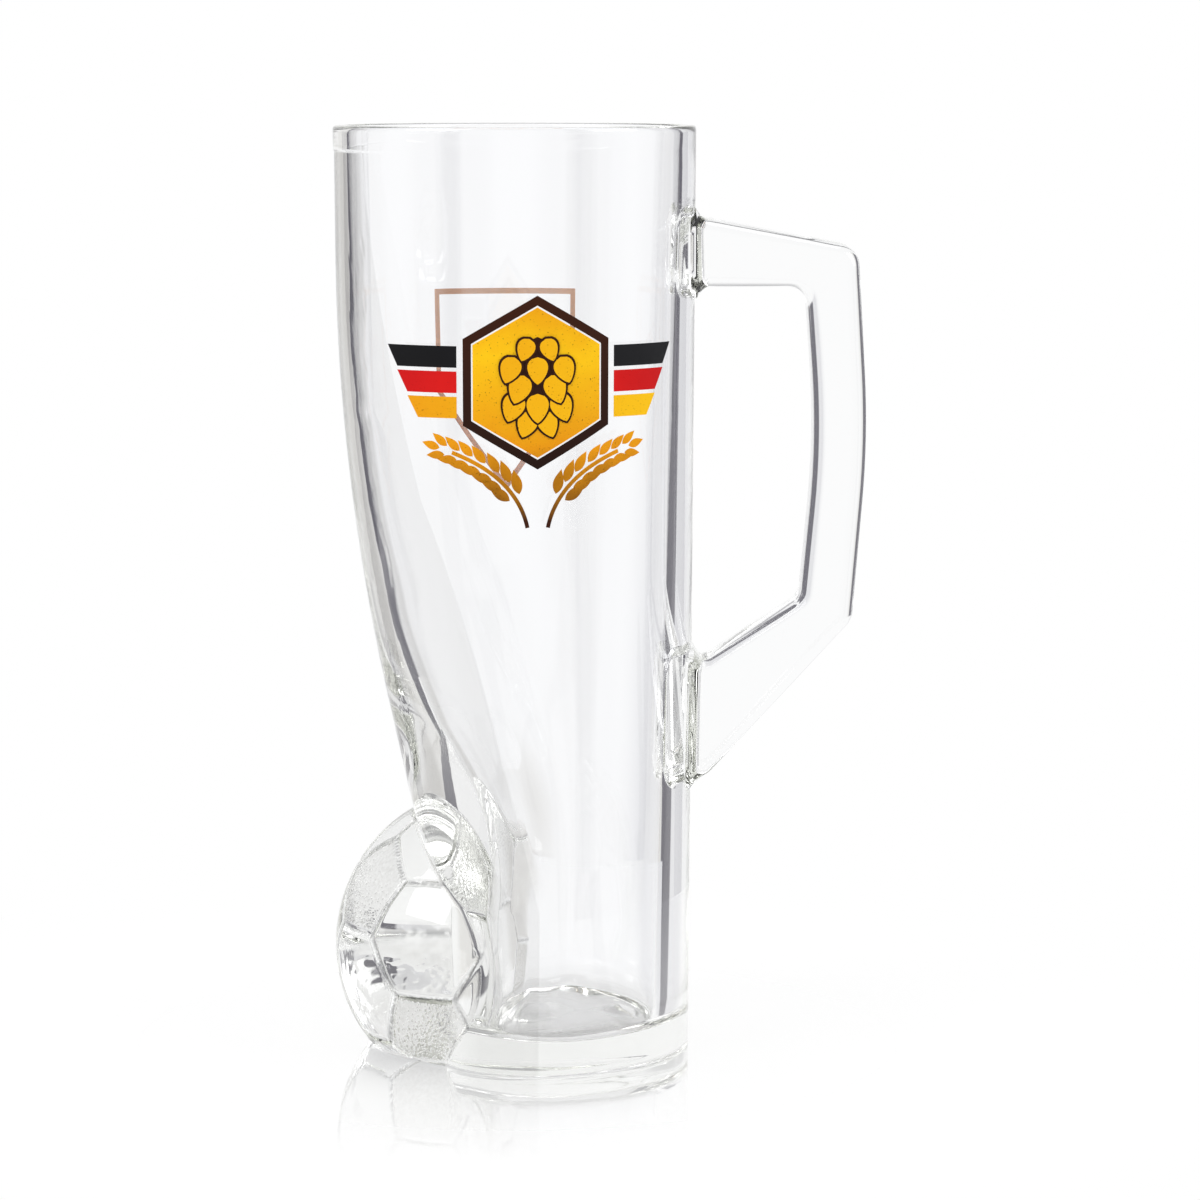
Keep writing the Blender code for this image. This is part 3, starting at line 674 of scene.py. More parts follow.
def handle_mesh():
    """Rounded oblongs, one a station: a quarter circle at each corner, set out by the half sizes.

    The circle's radius is the edge's own, and more by a share of the spread at the roots.
    """
    middle = (outer_rail + inner_rail) / 2.0
    reach = outer_rail - inner_rail
    width = np.linalg.norm(reach, axis=1)
    outwards = reach / width[:, None]
    half_width = width / 2.0 + root_spread(middle[:, 0], middle[:, 1], 0.0)
    half_depth = HANDLE_THICKNESS / 2.0
    edge_spread = root_spread(middle[:, 0], middle[:, 1], half_depth)
    half_depth = half_depth + edge_spread
    edge_round = (EDGE_ROUND + ROOT_ROUNDING * edge_spread)[:, None]
    quarter = np.linspace(0.0, math.pi / 2.0, EDGE_STATIONS)
    turns = np.concatenate([quarter + corner * math.pi / 2.0 for corner in range(4)])
    wide = np.repeat([1.0, -1.0, -1.0, 1.0], EDGE_STATIONS)
    deep = np.repeat([1.0, 1.0, -1.0, -1.0], EDGE_STATIONS)
    across = wide * (half_width[:, None] - edge_round) + edge_round * np.cos(turns)
    depth = deep * (half_depth[:, None] - edge_round) + edge_round * np.sin(turns)
    x = middle[:, 0, None] + outwards[:, 0, None] * across
    z = middle[:, 1, None] + outwards[:, 1, None] * across
    points = np.stack([x, depth, z], axis=-1)
    index = np.arange(points[..., 0].size).reshape(points.shape[:2])
    return closed_mesh("handle_skin", points.reshape(-1, 3), [grid_cells(index, True), index[:1], index[-1:]])


handle = bpy.data.objects.new("handle_skin", handle_mesh())
bpy.context.collection.objects.link(handle)
print("handle faces:", len(handle.data.polygons))

# %% [markdown]
# ## One piece of glass
# Where two glass bodies overlap, light would bend twice at faces that don't exist on the real mug. So the
# handle is fused to the vessel with a Boolean, and the result is a plain mesh. Three attributes are then
# written on it from the places of its points: where the football's pentagons are stippled, where its
# seams get a painted shade, where the leg is frosted, partly with painted shade beside its creases, and
# where the floor of the cavity gets a painted shade.

# %% Fuse the handle and the vessel
SHARP_ANGLE = math.radians(40.0)
SKIN_MARGIN = 0.4 * MM
STIPPLE_DEPTH = 0.3 * MM
STIPPLE_MARGIN = 0.9 * MM
SEAM_SHADE_WIDTH = 0.4 * MM
FROST_MARGIN = 0.4 * MM
SIDE_FROST_AND_SHADE = (12.0 * MM, 20.0 * MM)
SHIN_FROST = (9.0 * MM, 13.0 * MM)
NEAR_FROST_AND_SHADE = 0.42
FAR_FROST_AND_SHADE = 0.06
PANEL_FROST = 0.8
FLOOR_SHADE = 0.55
BOWL_MARGIN = 0.05 * MM
BOWL_EDGE_SHARE = 0.8
BOWL_END_SHARE = 1.2


def fuse(first, second, name):
    """One mesh of two closed ones: a Boolean union, read back from the evaluated object."""
    union = first.modifiers.new("fuse", "BOOLEAN")
    union.operation = "UNION"
    union.solver = "MANIFOLD"
    union.object = second
    evaluated = first.evaluated_get(bpy.context.evaluated_depsgraph_get())
    mesh = bpy.data.meshes.new_from_object(evaluated)
    mesh.name = name
    for item in (first, second):
        bpy.data.objects.remove(item, do_unlink=True)
    return mesh


# %% Marks on the glass
def mark(mesh, name, values):
    """Store one number for each point of a mesh."""
    mesh.attributes.new(name, "FLOAT", "POINT").data.foreach_set("value", values.astype(np.float32))


def outer_radius_at(height, turn):
    """Distance from the axis to the outside of the leg and the barrel, for single points."""
    return np.where(np.abs(turn) < leg_crease(height), front_reach(height, turn), barrel_radius(height))


def ball_marks(mesh, points, skin):
    """Stipple inside the pentagons of the ball, and painted shade in its seams, on the outside alone."""
    offset = points - np.array([BALL_X, 0.0, BALL_Z])
    distance = np.linalg.norm(offset, axis=1)
    gap, pentagon = seam_distance(offset / distance[:, None])
    outside = (np.hypot(points[:, 0], points[:, 1]) > skin - SKIN_MARGIN) & (points[:, 2] > FOOT_ROUND)
    on_ball = outside & (np.abs(distance - BALL_RADIUS) < STIPPLE_DEPTH)
    in_seam = outside & (np.abs(distance - BALL_RADIUS) < SEAM_DEPTH)
    mark(mesh, "stipple", on_ball * pentagon * smooth_step(gap, STIPPLE_MARGIN / 2.0, STIPPLE_MARGIN))
    # painted shade: a dark tint along the seams, in place of the dark their groove walls give
    mark(mesh, "seam", in_seam * ridge(gap, SEAM_SHADE_WIDTH))


def leg_frost_and_shade(points, radius, turn):
    """Frost beside the creases and down the shin, fuller where the relief rises; beside the creases its grey
    is partly painted shade.
    """
    raised = leg_relief(radius * turn, points[:, 2]) / RELIEF_HEIGHT
    inside_crease = radius * (leg_crease(points[:, 2]) - np.abs(turn))
    side = 1.0 - smooth_step(inside_crease, *SIDE_FROST_AND_SHADE)
    # painted shade: the grey beside the creases is heavy on the near side and faint on the far side
    side = side * np.where(turn > 0.0, NEAR_FROST_AND_SHADE, FAR_FROST_AND_SHADE)
    shin = 1.0 - smooth_step(radius * np.abs(turn), *SHIN_FROST)
    panel = smooth_step(inside_crease, 0.0, FROST_MARGIN) * (points[:, 2] < LEG_EDGE)
    return panel * np.maximum(side, shin) * mix(PANEL_FROST, 1.0, raised)


def bowl_shade(points, radius, turn):
    """Painted shade on the floor of the cavity and on the bend around it: a grey tint with a faint bump."""
    edge = FLOOR_THICKNESS + BOWL_EDGE_SHARE * FLOOR_ROUND
    end = FLOOR_THICKNESS + BOWL_END_SHARE * FLOOR_ROUND
    inside = radius < cavity_reach(points[:, 2], turn[:, None], -BOWL_MARGIN)[:, 0]
    # painted shade: the floor of the cavity is greyed
    return inside * FLOOR_SHADE * (1.0 - smooth_step(points[:, 2], edge, end))


def glass_marks(mesh):
    """Write the marks of the ball, the frost of the leg and the painted shade of the cavity's floor on the
    points of a mesh.
    """
    points = np.empty(len(mesh.vertices) * 3)
    mesh.vertices.foreach_get("co", points)
    points = points.reshape(-1, 3)
    radius = np.hypot(points[:, 0], points[:, 1])
    turn = np.arctan2(-points[:, 1], -points[:, 0])
    skin = outer_radius_at(points[:, 2], turn)
    ball_marks(mesh, points, skin)
    on_skin = np.abs(radius - skin) < SKIN_MARGIN
    # the frost mark also carries painted shade beside the leg's creases and on the cavity's floor
    mark(mesh, "frost", np.where(on_skin, leg_frost_and_shade(points, radius, turn), bowl_shade(points, radius, turn)))


# %% The glass piece
glass_mesh = fuse(vessel, handle, "glass_mug")
glass_marks(glass_mesh)
glass_mesh.shade_smooth()
glass_mesh.set_sharp_from_angle(angle=SHARP_ANGLE)
glass_mug = bpy.data.objects.new("glass_mug", glass_mesh)
bpy.context.collection.objects.link(glass_mug)
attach(glass_mug, "root")
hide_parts("glass_body", "football", "handle", "upper_handle_weld", "lower_handle_weld")
print("glass triangles:", sum(len(face.vertices) - 2 for face in glass_mesh.polygons))

# %% [markdown]
# ## The prints
# The print is fired enamel: a coat a few hundredths of a millimetre thick. It could be a picture on the
# glass, but as thin closed slabs it casts its own shade and shows its edge. Each shape is drawn flat,
# as a grid in millimetres across and up, and then wrapped on the barrel.

# %% Wrap a flat shape on the barrel
PRINT_LIFT = 0.03 * MM
PRINT_THICKNESS = 0.06 * MM
FRONT = (math.radians(8.0), MUG_HEIGHT - 60.0 * MM)
BACK = (math.radians(185.0), MUG_HEIGHT - 62.0 * MM)


def wrapped(flat, place, lift):
    """Flat (across, up) points on the barrel: the angle is across / radius, from -Y towards +X."""
    turn, height = place
    angle = turn + flat[..., 0] / barrel_radius(height)
    up = height + flat[..., 1]
    radius = barrel_radius(up) + lift
    return np.stack([radius * np.sin(angle), -radius * np.cos(angle), up], axis=-1)


print("heights of the front and the back print in mm:", FRONT[1] / MM, BACK[1] / MM)


# %% Slabs of enamel
def slab_cells(rows, columns, closed, start):
    """Cells of a slab: its top and its bottom grid, and a wall along each open edge."""
    top = np.arange(rows * columns).reshape(rows, columns) + start
    bottom = top + rows * columns
    cells = [grid_cells(top, closed), grid_cells(bottom, closed)[:, ::-1]]
    cells.append(grid_cells(np.stack([top[0], bottom[0]]), closed)[:, ::-1])
    cells.append(grid_cells(np.stack([top[-1], bottom[-1]]), closed))
    if not closed:
        cells.append(grid_cells(np.stack([top[:, 0], bottom[:, 0]]), False))
        cells.append(grid_cells(np.stack([top[:, -1], bottom[:, -1]]), False)[:, ::-1])
    return cells


def make_print(name, patches, place, layers, nodes):
    """A print of several slabs, riding on the mug: each patch is a grid of flat points, closed or not.

    The layers are one number for all patches, or a list with one for each.
    """
    points = []
    cells = []
    count = 0
    lifts = PRINT_LIFT + np.broadcast_to(layers, len(patches)) * (PRINT_LIFT + PRINT_THICKNESS)
    for (flat, closed), lift in zip(patches, lifts):
        cells += slab_cells(*flat.shape[:2], closed, count)
        points.append(wrapped(flat, place, lift + PRINT_THICKNESS).reshape(-1, 3))
        points.append(wrapped(flat, place, lift).reshape(-1, 3))
        count += 2 * flat[..., 0].size
    piece = bpy.data.objects.new(name, closed_mesh(name, np.concatenate(points), cells))
    bpy.context.collection.objects.link(piece)
    piece.data.set_sharp_from_angle(angle=SHARP_ANGLE)
    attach(piece, "root")
    if nodes:
        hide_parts(*nodes)
    print(name, "patches:", len(patches), "faces:", len(piece.data.polygons))
    return piece


# %% [markdown]
# ## Shapes of the prints
# Most shapes are a centre line with a half width: bars, leaves, grains and the hop cone are all drawn by
# one function. Lines that go round, such as the badge's rim and the shield, are a ring of corners at
# two or more insets.

# %% Ribbons and bands
TIP = 0.02 * MM


def ribbon(centre, half_width, columns):
    """A grid along a centre line: each row runs across it, out to the half width on both sides."""
    ahead = np.gradient(centre, axis=0)
    ahead /= np.linalg.norm(ahead, axis=1, keepdims=True)
    across = np.stack([ahead[:, 1], -ahead[:, 0]], axis=1)
    spread = np.linspace(-1.0, 1.0, columns)[None, :, None]
    half = np.maximum(half_width, TIP)[:, None, None]
    return centre[:, None] + across[:, None] * spread * half, False


def along(outline, count):
    """Points evenly spaced along each side of a closed outline, corners included."""
    share = np.linspace(0.0, 1.0, count, endpoint=False)[:, None]
    following = np.roll(outline, -1, axis=0)
    return (outline[:, None] + (following - outline)[:, None] * share).reshape(-1, 2)


def band(outer, inner, count):
    """A closed ring between two outlines with matching corners."""
    return np.stack([along(inner, count), along(outer, count)]), True


def hexagon(radius, rise):
    """Corners of a hexagon that stands on a corner."""
    turn = math.pi / 2.0 + np.arange(6) * math.pi / 3.0
    return np.stack([radius * np.cos(turn), rise + radius * np.sin(turn)], axis=1)


print("thinnest half width of a ribbon in mm:", TIP / MM)

# %% [markdown]
# ## Badge with a hop cone
# The badge is a gold hexagon in a brown rim, with a hop cone on it. A cone could be one flat shape, but
# its scales make it a hop. Each scale is a gold leaf on a slightly larger brown one, which shows as
# its outline, and every row is printed over the row below it.

# %% Badge, cone and scales
BADGE_RADIUS = 18.5 * MM
BADGE_RISE = 6.0 * MM
BADGE_RIM = 2.1 * MM
BADGE_GAP = 0.4 * MM
HOP_HEIGHT = 19.5 * MM
HOP_WIDTH = 14.5 * MM
HOP_ROWS = 5
HOP_EGG_POWER = 0.8
HOP_SCALLOP = 0.22
HOP_COUNTS = (2, 3, 2, 3, 2)
SCALE_LENGTH = 7.4 * MM
SCALE_WIDTH = 5.6 * MM
SCALE_LINE = 0.5 * MM
SCALE_STEP = 0.25
SCALE_LEAN = 0.34
SCALE_SIZE = 0.66
SCALE_SWELL = 0.2
SCALE_FULLNESS = 0.7
SCALE_SPREAD = {2: 0.40, 3: 0.72}
FIRST_SCALE_ROW = 0.1
EGG_START = 0.12
EGG_LENGTH = 0.84
FIELD_GRID = (41, 25)
CONE_GRID = (61, 9)
SCALE_GRID = (15, 7)
RIM_STATIONS = 10


def badge_field():
    """A hexagon as rows of one width each: full between the shoulders, then narrowing to the corners."""
    radius = BADGE_RADIUS - BADGE_RIM - BADGE_GAP
    up = np.linspace(-1.0, 1.0, FIELD_GRID[0]) * (radius - TIP)
    half = np.minimum(radius * math.cos(math.pi / 6.0), (radius - np.abs(up)) * math.sqrt(3.0))
    centre = np.stack([0.0 * up, BADGE_RISE + up], axis=1)
    return ribbon(centre, half, FIELD_GRID[1])


def hop_cone():
    """An egg, widest above its middle, whose edge is scalloped by the scales."""
    share = np.linspace(0.0, 1.0, CONE_GRID[0])
    egg = np.sin(math.pi * share**HOP_EGG_POWER)
    scallop = 1.0 - HOP_SCALLOP * (1.0 - np.abs(np.sin(math.pi * HOP_ROWS * share)))
    centre = np.stack([0.0 * share, BADGE_RISE + HOP_HEIGHT * (0.5 - share)], axis=1)
    return ribbon(centre, HOP_WIDTH / 2.0 * egg * scallop, CONE_GRID[1])


def hop_scale(x, y, lean, size, margin):
    """One scale: a pointed leaf that hangs from its root, widest a third of the way down."""
    share = np.linspace(0.0, 1.0, SCALE_GRID[0])
    length = (SCALE_LENGTH * size + 2.0 * margin) * share - margin
    centre = np.stack([x + length * math.sin(lean), y - length * math.cos(lean)], axis=1)
    leaf = np.sin(math.pi * share**SCALE_FULLNESS) ** SCALE_FULLNESS
    return ribbon(centre, (SCALE_WIDTH * size / 2.0 + margin) * leaf, SCALE_GRID[1])


def hop_scales(margin):
    """Rows of scales up the cone, each row printed over the one below it, and the layer of each scale."""
    patches = []
    layers = []
    for row, count in enumerate(HOP_COUNTS):
        share = (row + FIRST_SCALE_ROW) / HOP_ROWS
        egg = math.sin(math.pi * (share * EGG_LENGTH + EGG_START) ** HOP_EGG_POWER)
        half = HOP_WIDTH / 2.0 * egg
        y = BADGE_RISE + HOP_HEIGHT * (0.5 - share)
        size = SCALE_SIZE + SCALE_SWELL * math.sin(math.pi * share)
        for place in np.linspace(-1.0, 1.0, count):
            x = place * half * SCALE_SPREAD[count]
            patches.append(hop_scale(x, y, place * SCALE_LEAN, size, margin))
            layers.append(1.0 + (HOP_ROWS - row) * 2.0 * SCALE_STEP - SCALE_STEP * (margin > 0.0))
    return patches, layers


# %% Print the badge
rim_outer = hexagon(BADGE_RADIUS, BADGE_RISE)
rim_inner = hexagon(BADGE_RADIUS - BADGE_RIM, BADGE_RISE)
rim_band = band(rim_outer, rim_inner, RIM_STATIONS)
badge_rim = make_print("badge_rim", [rim_band], FRONT, 0, ["print_badge_rim"])
field = make_print("badge_field", [badge_field()], FRONT, 0, ["print_badge_field"])
cone = make_print("hop_cone", [hop_cone()], FRONT, 1, ["print_hop_cone"])
edge_patches, edge_layers = hop_scales(SCALE_LINE)
scale_patches, scale_layers = hop_scales(0.0)
scale_edges = make_print("hop_scale_edges", edge_patches, FRONT, edge_layers, [])
scales = make_print("hop_scales", scale_patches, FRONT, scale_layers, [])

# %% [markdown]
# ## Bars beside the badge
# Three bars lie at each side of the badge, black, red and gold from the top, with leaning outer ends. One
# function makes all six from a side and a row.

# %% Six bars
BAR_HEIGHT = 4.6 * MM
BAR_SPACING = 5.4 * MM
BAR_REACH = 32.0 * MM
BAR_STEP = 2.7 * MM
BAR_GAP = 1.4 * MM
BAR_GRID = (7, 15)


def bar(side, row):
    """Straight rows from the badge outwards: an upright inner end, and an outer end that leans out."""
    middle = BADGE_RISE - row * BAR_SPACING
    inner = BADGE_RADIUS * math.cos(math.pi / 6.0) + BAR_GAP
    outer = BAR_REACH - (row + 1) * BAR_STEP
    up = np.linspace(-0.5, 0.5, BAR_GRID[0])[:, None]
    share = np.linspace(0.0, 1.0, BAR_GRID[1])[None, :]
    end = outer + BAR_STEP * (up + 0.5)
    across = side * mix(inner, end, share)
    return np.stack([across, middle + BAR_HEIGHT * up + 0.0 * share], axis=-1), False


bars = {}
for side, side_name in ((-1.0, "left"), (1.0, "right")):
    for row, colour in enumerate(("black", "red", "gold"), start=-1):
        name = f"{side_name}_{colour}_bar"
        bars[name] = make_print(name, [bar(side, row)], FRONT, 0, [f"print_{name}"])

# %% [markdown]
# ## Barley ears
# Two ears of barley bend away from each other below the badge. An ear could be drawn by hand, but it grows
# by a rule: a stalk that turns along a sine, with pairs of grains that lean out and get smaller.

# %% Two ears
EAR_LENGTH = 30.0 * MM
EAR_START = (2.2 * MM, -25.0 * MM)
EAR_START_ANGLE = math.radians(12.0)
EAR_BEND = math.radians(62.0)
EAR_GRAINS = 7
GRAIN_LENGTH = 5.4 * MM
GRAIN_WIDTH = 2.3 * MM
GRAIN_LEAN = math.radians(21.0)
GRAIN_OFFSET = 1.25 * MM
GRAIN_FULLNESS = 0.8
GRAIN_GRID = (11, 5)
EAR_STEPS = 81
EAR_TAPER = 0.25
STALK_HALF_WIDTH = 0.44 * MM
STALK_COLUMNS = 3
STALK_SHARE = 0.24
STALK_END = 0.82
LAST_GRAIN = 0.86
TIP_GRAIN = 0.9
TIP_GRAIN_SIZE = 0.8


def ear_line(side):
    """Centre line of an ear and its heading: unit steps whose angle from upright grows along a sine."""
    share = np.linspace(0.0, 1.0, EAR_STEPS)
    heading = EAR_START_ANGLE + EAR_BEND * np.sin(math.pi * share / 2.0)
    step = EAR_LENGTH / (len(share) - 1)
    x = EAR_START[0] + np.concatenate([[0.0], np.cumsum(step * np.sin(heading))[:-1]])
    y = EAR_START[1] + np.concatenate([[0.0], np.cumsum(step * np.cos(heading))[:-1]])
    return np.stack([side * x, y], axis=1), side * heading


def barley_grain(start, heading, size):
    """A pointed oval from a start along a heading: its half width is a sine of the share along it."""
    share = np.linspace(0.0, 1.0, GRAIN_GRID[0])
    centre = start + np.outer(share * GRAIN_LENGTH * size, [math.sin(heading), math.cos(heading)])
    half = GRAIN_WIDTH * size / 2.0 * np.sin(math.pi * share**GRAIN_FULLNESS)
    return ribbon(centre, half, GRAIN_GRID[1])


def barley_ear(side):
    """A stalk, pairs of leaning grains on both sides of it, and one grain at the tip."""
    line, heading = ear_line(side)
    last = len(line) - 1
    stalk_end = int(STALK_END * last)
    patches = [ribbon(line[:stalk_end], np.full(stalk_end, STALK_HALF_WIDTH), STALK_COLUMNS)]
    for grain in range(EAR_GRAINS):
        at = int(last * (STALK_SHARE + (LAST_GRAIN - STALK_SHARE) * grain / (EAR_GRAINS - 1)))
        size = 1.0 - EAR_TAPER * grain / EAR_GRAINS
        sideways = np.array([math.cos(heading[at]), -math.sin(heading[at])])
        for lean in (-GRAIN_LEAN, GRAIN_LEAN):
            root = line[at] + sideways * math.copysign(GRAIN_OFFSET, lean) * size
            patches.append(barley_grain(root, heading[at] + lean, size))
    patches.append(barley_grain(line[int(TIP_GRAIN * last)], heading[last], TIP_GRAIN_SIZE))
    return patches


ears = []
for side, side_name in ((-1.0, "left"), (1.0, "right")):
    name = f"{side_name}_barley_ear"
    ears.append(make_print(name, barley_ear(side), FRONT, 0, [f"print_{name}"]))

# %% [markdown]
# ## Line drawing on the back
# The back carries a shield and a ring in thin copper line, which show through the glass behind the badge.
# A line of even width is the band between an outline and the same outline moved in.

# %% Shield and ring
BACK_WIDTH = 36.0 * MM
BACK_HEIGHT = 47.0 * MM
BACK_SIDE_HEIGHT = 23.5 * MM
BACK_LINE = 1.3 * MM
BACK_RING_RADIUS = 7.0 * MM
BACK_RING_RISE = 6.0 * MM
SHIELD_STATIONS = 12
RING_SIDES = 60


def shield(inset):
    """A plain shield: straight top and sides and a point below, every side moved in by the inset."""
    half = BACK_WIDTH / 2.0 - inset
    top = BACK_HEIGHT / 2.0 - inset
    slope = (BACK_HEIGHT - BACK_SIDE_HEIGHT) / (BACK_WIDTH / 2.0)
    tip = inset * math.hypot(1.0, slope) - BACK_HEIGHT / 2.0
    shoulder = tip + slope * half
    return np.array([(-half, top), (-half, shoulder), (0.0, tip), (half, shoulder), (half, top)])


def circle(radius, rise):
    """Corners of a circle drawn with short sides."""
    turn = np.linspace(0.0, 2.0 * math.pi, RING_SIDES, endpoint=False)
    return np.stack([radius * np.cos(turn), rise + radius * np.sin(turn)], axis=1)


shield_band = band(shield(0.0), shield(BACK_LINE), SHIELD_STATIONS)
ring_outer = circle(BACK_RING_RADIUS, BACK_RING_RISE)
ring_inner = circle(BACK_RING_RADIUS - BACK_LINE, BACK_RING_RISE)
ring_band = band(ring_outer, ring_inner, 1)
shield_line = make_print("shield_line", [shield_band], BACK, 0, ["back_shield_line"])
ring_line = make_print("ring_line", [ring_band], BACK, 0, ["back_ring_line"])

# %% [markdown]
# ## Shader arithmetic
# A finish is a little sum: a mask times a colour, one minus a gradient. Adding its nodes by hand hides the
# sum, so a wire here is a socket that Python can add and multiply. Every operator places a Math node,
# and any other node comes from one method.


# %% Wires and boards
class Wire:
    """An output socket that takes part in sums."""

    def __init__(self, board, socket):
        self.board = board
        self.socket = socket

    def __add__(self, other):
        return self.board.math("ADD", self, other)

    def __radd__(self, other):
        return self.board.math("ADD", other, self)

    def __sub__(self, other):
        return self.board.math("SUBTRACT", self, other)

    def __rsub__(self, other):
        return self.board.math("SUBTRACT", other, self)

    def __mul__(self, other):
        return self.board.math("MULTIPLY", self, other)

    def __rmul__(self, other):
        return self.board.math("MULTIPLY", other, self)


# %% Board
class Board:
    """A node tree that is filled by one method."""

    def __init__(self, tree):
        self.tree = tree
        tree.nodes.clear()

    def node(self, kind, settings, sockets, output=0):
        """Add a node: its settings first, then values or wires for its sockets. Gives one output."""
        item = self.tree.nodes.new(kind)
        for name, value in settings.items():
            if name == "stops":
                self.set_stops(item.color_ramp, value)
            else:
                setattr(item, name, value)
        for name, value in sockets.items():
            if isinstance(value, Wire):
                self.tree.links.new(value.socket, item.inputs[name])
            else:
                item.inputs[name].default_value = value
        return Wire(self, item.outputs[output]) if item.outputs else None

    def set_stops(self, ramp, stops):
        """Give a colour ramp its (place, colour) stops."""
        for place, _ in stops[2:]:
            ramp.elements.new(place)
        for element, (place, colour) in zip(ramp.elements, stops):
            element.position = place
            element.color = colour

    def math(self, operation, first, second):
        """A Math node on two values or wires."""
        return self.node("ShaderNodeMath", {"operation": operation}, {0: first, 1: second})

    def between(self, value, low, high):
        """A smooth step of a value from 0 at low to 1 at high."""
        limits = {"From Min": low, "From Max": high}
        settings = {"interpolation_type": "SMOOTHSTEP"}
        return self.node("ShaderNodeMapRange", settings, {"Value": value, **limits})

    def blend(self, factor, first, second):
        """A mix of two colours."""
        return self.node("ShaderNodeMix", {"data_type": "RGBA"}, {0: factor, 6: first, 7: second}, 2)


def finish(name):
    """An empty material and its board."""
    material = bpy.data.materials.new(name)
    material.use_nodes = True
    return material, Board(material.node_tree)


print("wires are ready")

# %% [markdown]
# ## Clear glass
# Soda glass bends light by 1.5, and a thick piece of it is faintly green and yellow. The mould stipples the
# pentagons of the ball and frosts the leg a little. These are finer than the mesh, so a bump and a tint
# give them. The seams of the ball and the floor of the cavity get a painted shade, and the grey beside
# the leg's creases, heavy on the near side, is partly painted shade. All are held in place by the three
# attributes on the mesh.

# %% Glass finish
STIPPLE_SCALE = 1200.0
STIPPLE_BUMP = 0.10 * MM
FROST_BUMP = 0.02
SEAM_SHADE_GRAIN = (0.3, 0.55)
GLASS_INDEX = 1.5
CLEAR_COLOUR = (0.99, 0.992, 1.0, 1.0)
# grey of the frost, partly painted shade beside the leg's creases and on the cavity's floor
FROST_AND_SHADE_COLOUR = (0.46, 0.455, 0.445, 1.0)
STIPPLE_COLOUR = (0.58, 0.575, 0.565, 1.0)
# painted shade in the seams of the ball
SEAM_SHADE_COLOUR = (0.20, 0.20, 0.21, 1.0)
BULK_DENSITY = 6.0
BULK_COLOUR = (0.80, 0.81, 0.76, 1.0)


def clear_glass():
    """A Principled glass with a bump of fine noise, and tints, where the attributes say so."""
    material, board = finish("clear_glass")
    place = board.node("ShaderNodeTexCoord", {}, {}, "Object")
    grain = board.node("ShaderNodeTexNoise", {}, {"Vector": place, "Scale": STIPPLE_SCALE, "Detail": 1.0})
    stipple = board.node("ShaderNodeAttribute", {"attribute_name": "stipple"}, {}, "Fac")
    frost = board.node("ShaderNodeAttribute", {"attribute_name": "frost"}, {}, "Fac")
    height = grain * (stipple + frost * FROST_BUMP)
    normal = board.node("ShaderNodeBump", {}, {"Strength": 1.0, "Distance": STIPPLE_BUMP, "Height": height})
    seam = board.node("ShaderNodeAttribute", {"attribute_name": "seam"}, {}, "Fac")
    # frost tint, partly painted shade beside the leg's creases and on the cavity's floor
    colour = board.blend(frost * (1.0 - stipple), CLEAR_COLOUR, FROST_AND_SHADE_COLOUR)
    colour = board.blend(stipple * grain, colour, STIPPLE_COLOUR)
    # painted shade along the seams of the ball, broken into dots by the noise
    colour = board.blend(seam * board.between(grain, *SEAM_SHADE_GRAIN), colour, SEAM_SHADE_COLOUR)
    sockets = {"Base Color": colour, "Roughness": 0.0, "IOR": GLASS_INDEX}
    sockets |= {"Transmission Weight": 1.0, "Normal": normal}
    shader = board.node("ShaderNodeBsdfPrincipled", {}, sockets)
    bulk = board.node("ShaderNodeVolumeAbsorption", {}, {"Color": BULK_COLOUR, "Density": BULK_DENSITY})
    board.node("ShaderNodeOutputMaterial", {}, {"Surface": shader, "Volume": bulk})
    return material


glass_mug.data.materials.clear()
glass_mug.data.materials.append(clear_glass())
print("glass finish:", glass_mug.data.materials[0].name)

# %% [markdown]
# ## Enamels
# Fired enamel is glossy but never even: colours are cloudy, and tiny pinholes show the glass. The gold
# runs from brown low down through amber to pale gold high on the badge, partly as painted shade and
# painted highlight. A ramp across the mug gives the run, noise gives the clouds and the pinholes.

# %% Enamel finishes
CLOUD_SCALE = 160.0
CLOUD_RUN = 0.22
CLOUD_ROUGHNESS = 0.2
LEAST_ROUGHNESS = 0.3
PINHOLE_SCALE = 2600.0
PINHOLE_LEVELS = (0.70, 0.74)
PINHOLE_SHADE = 0.25
SPECK_HEIGHT = 0.3
ENAMEL_BUMP = 0.02 * MM
ENAMEL_BUMP_SHARE = 0.25
ENAMEL_GLOSS = 0.08


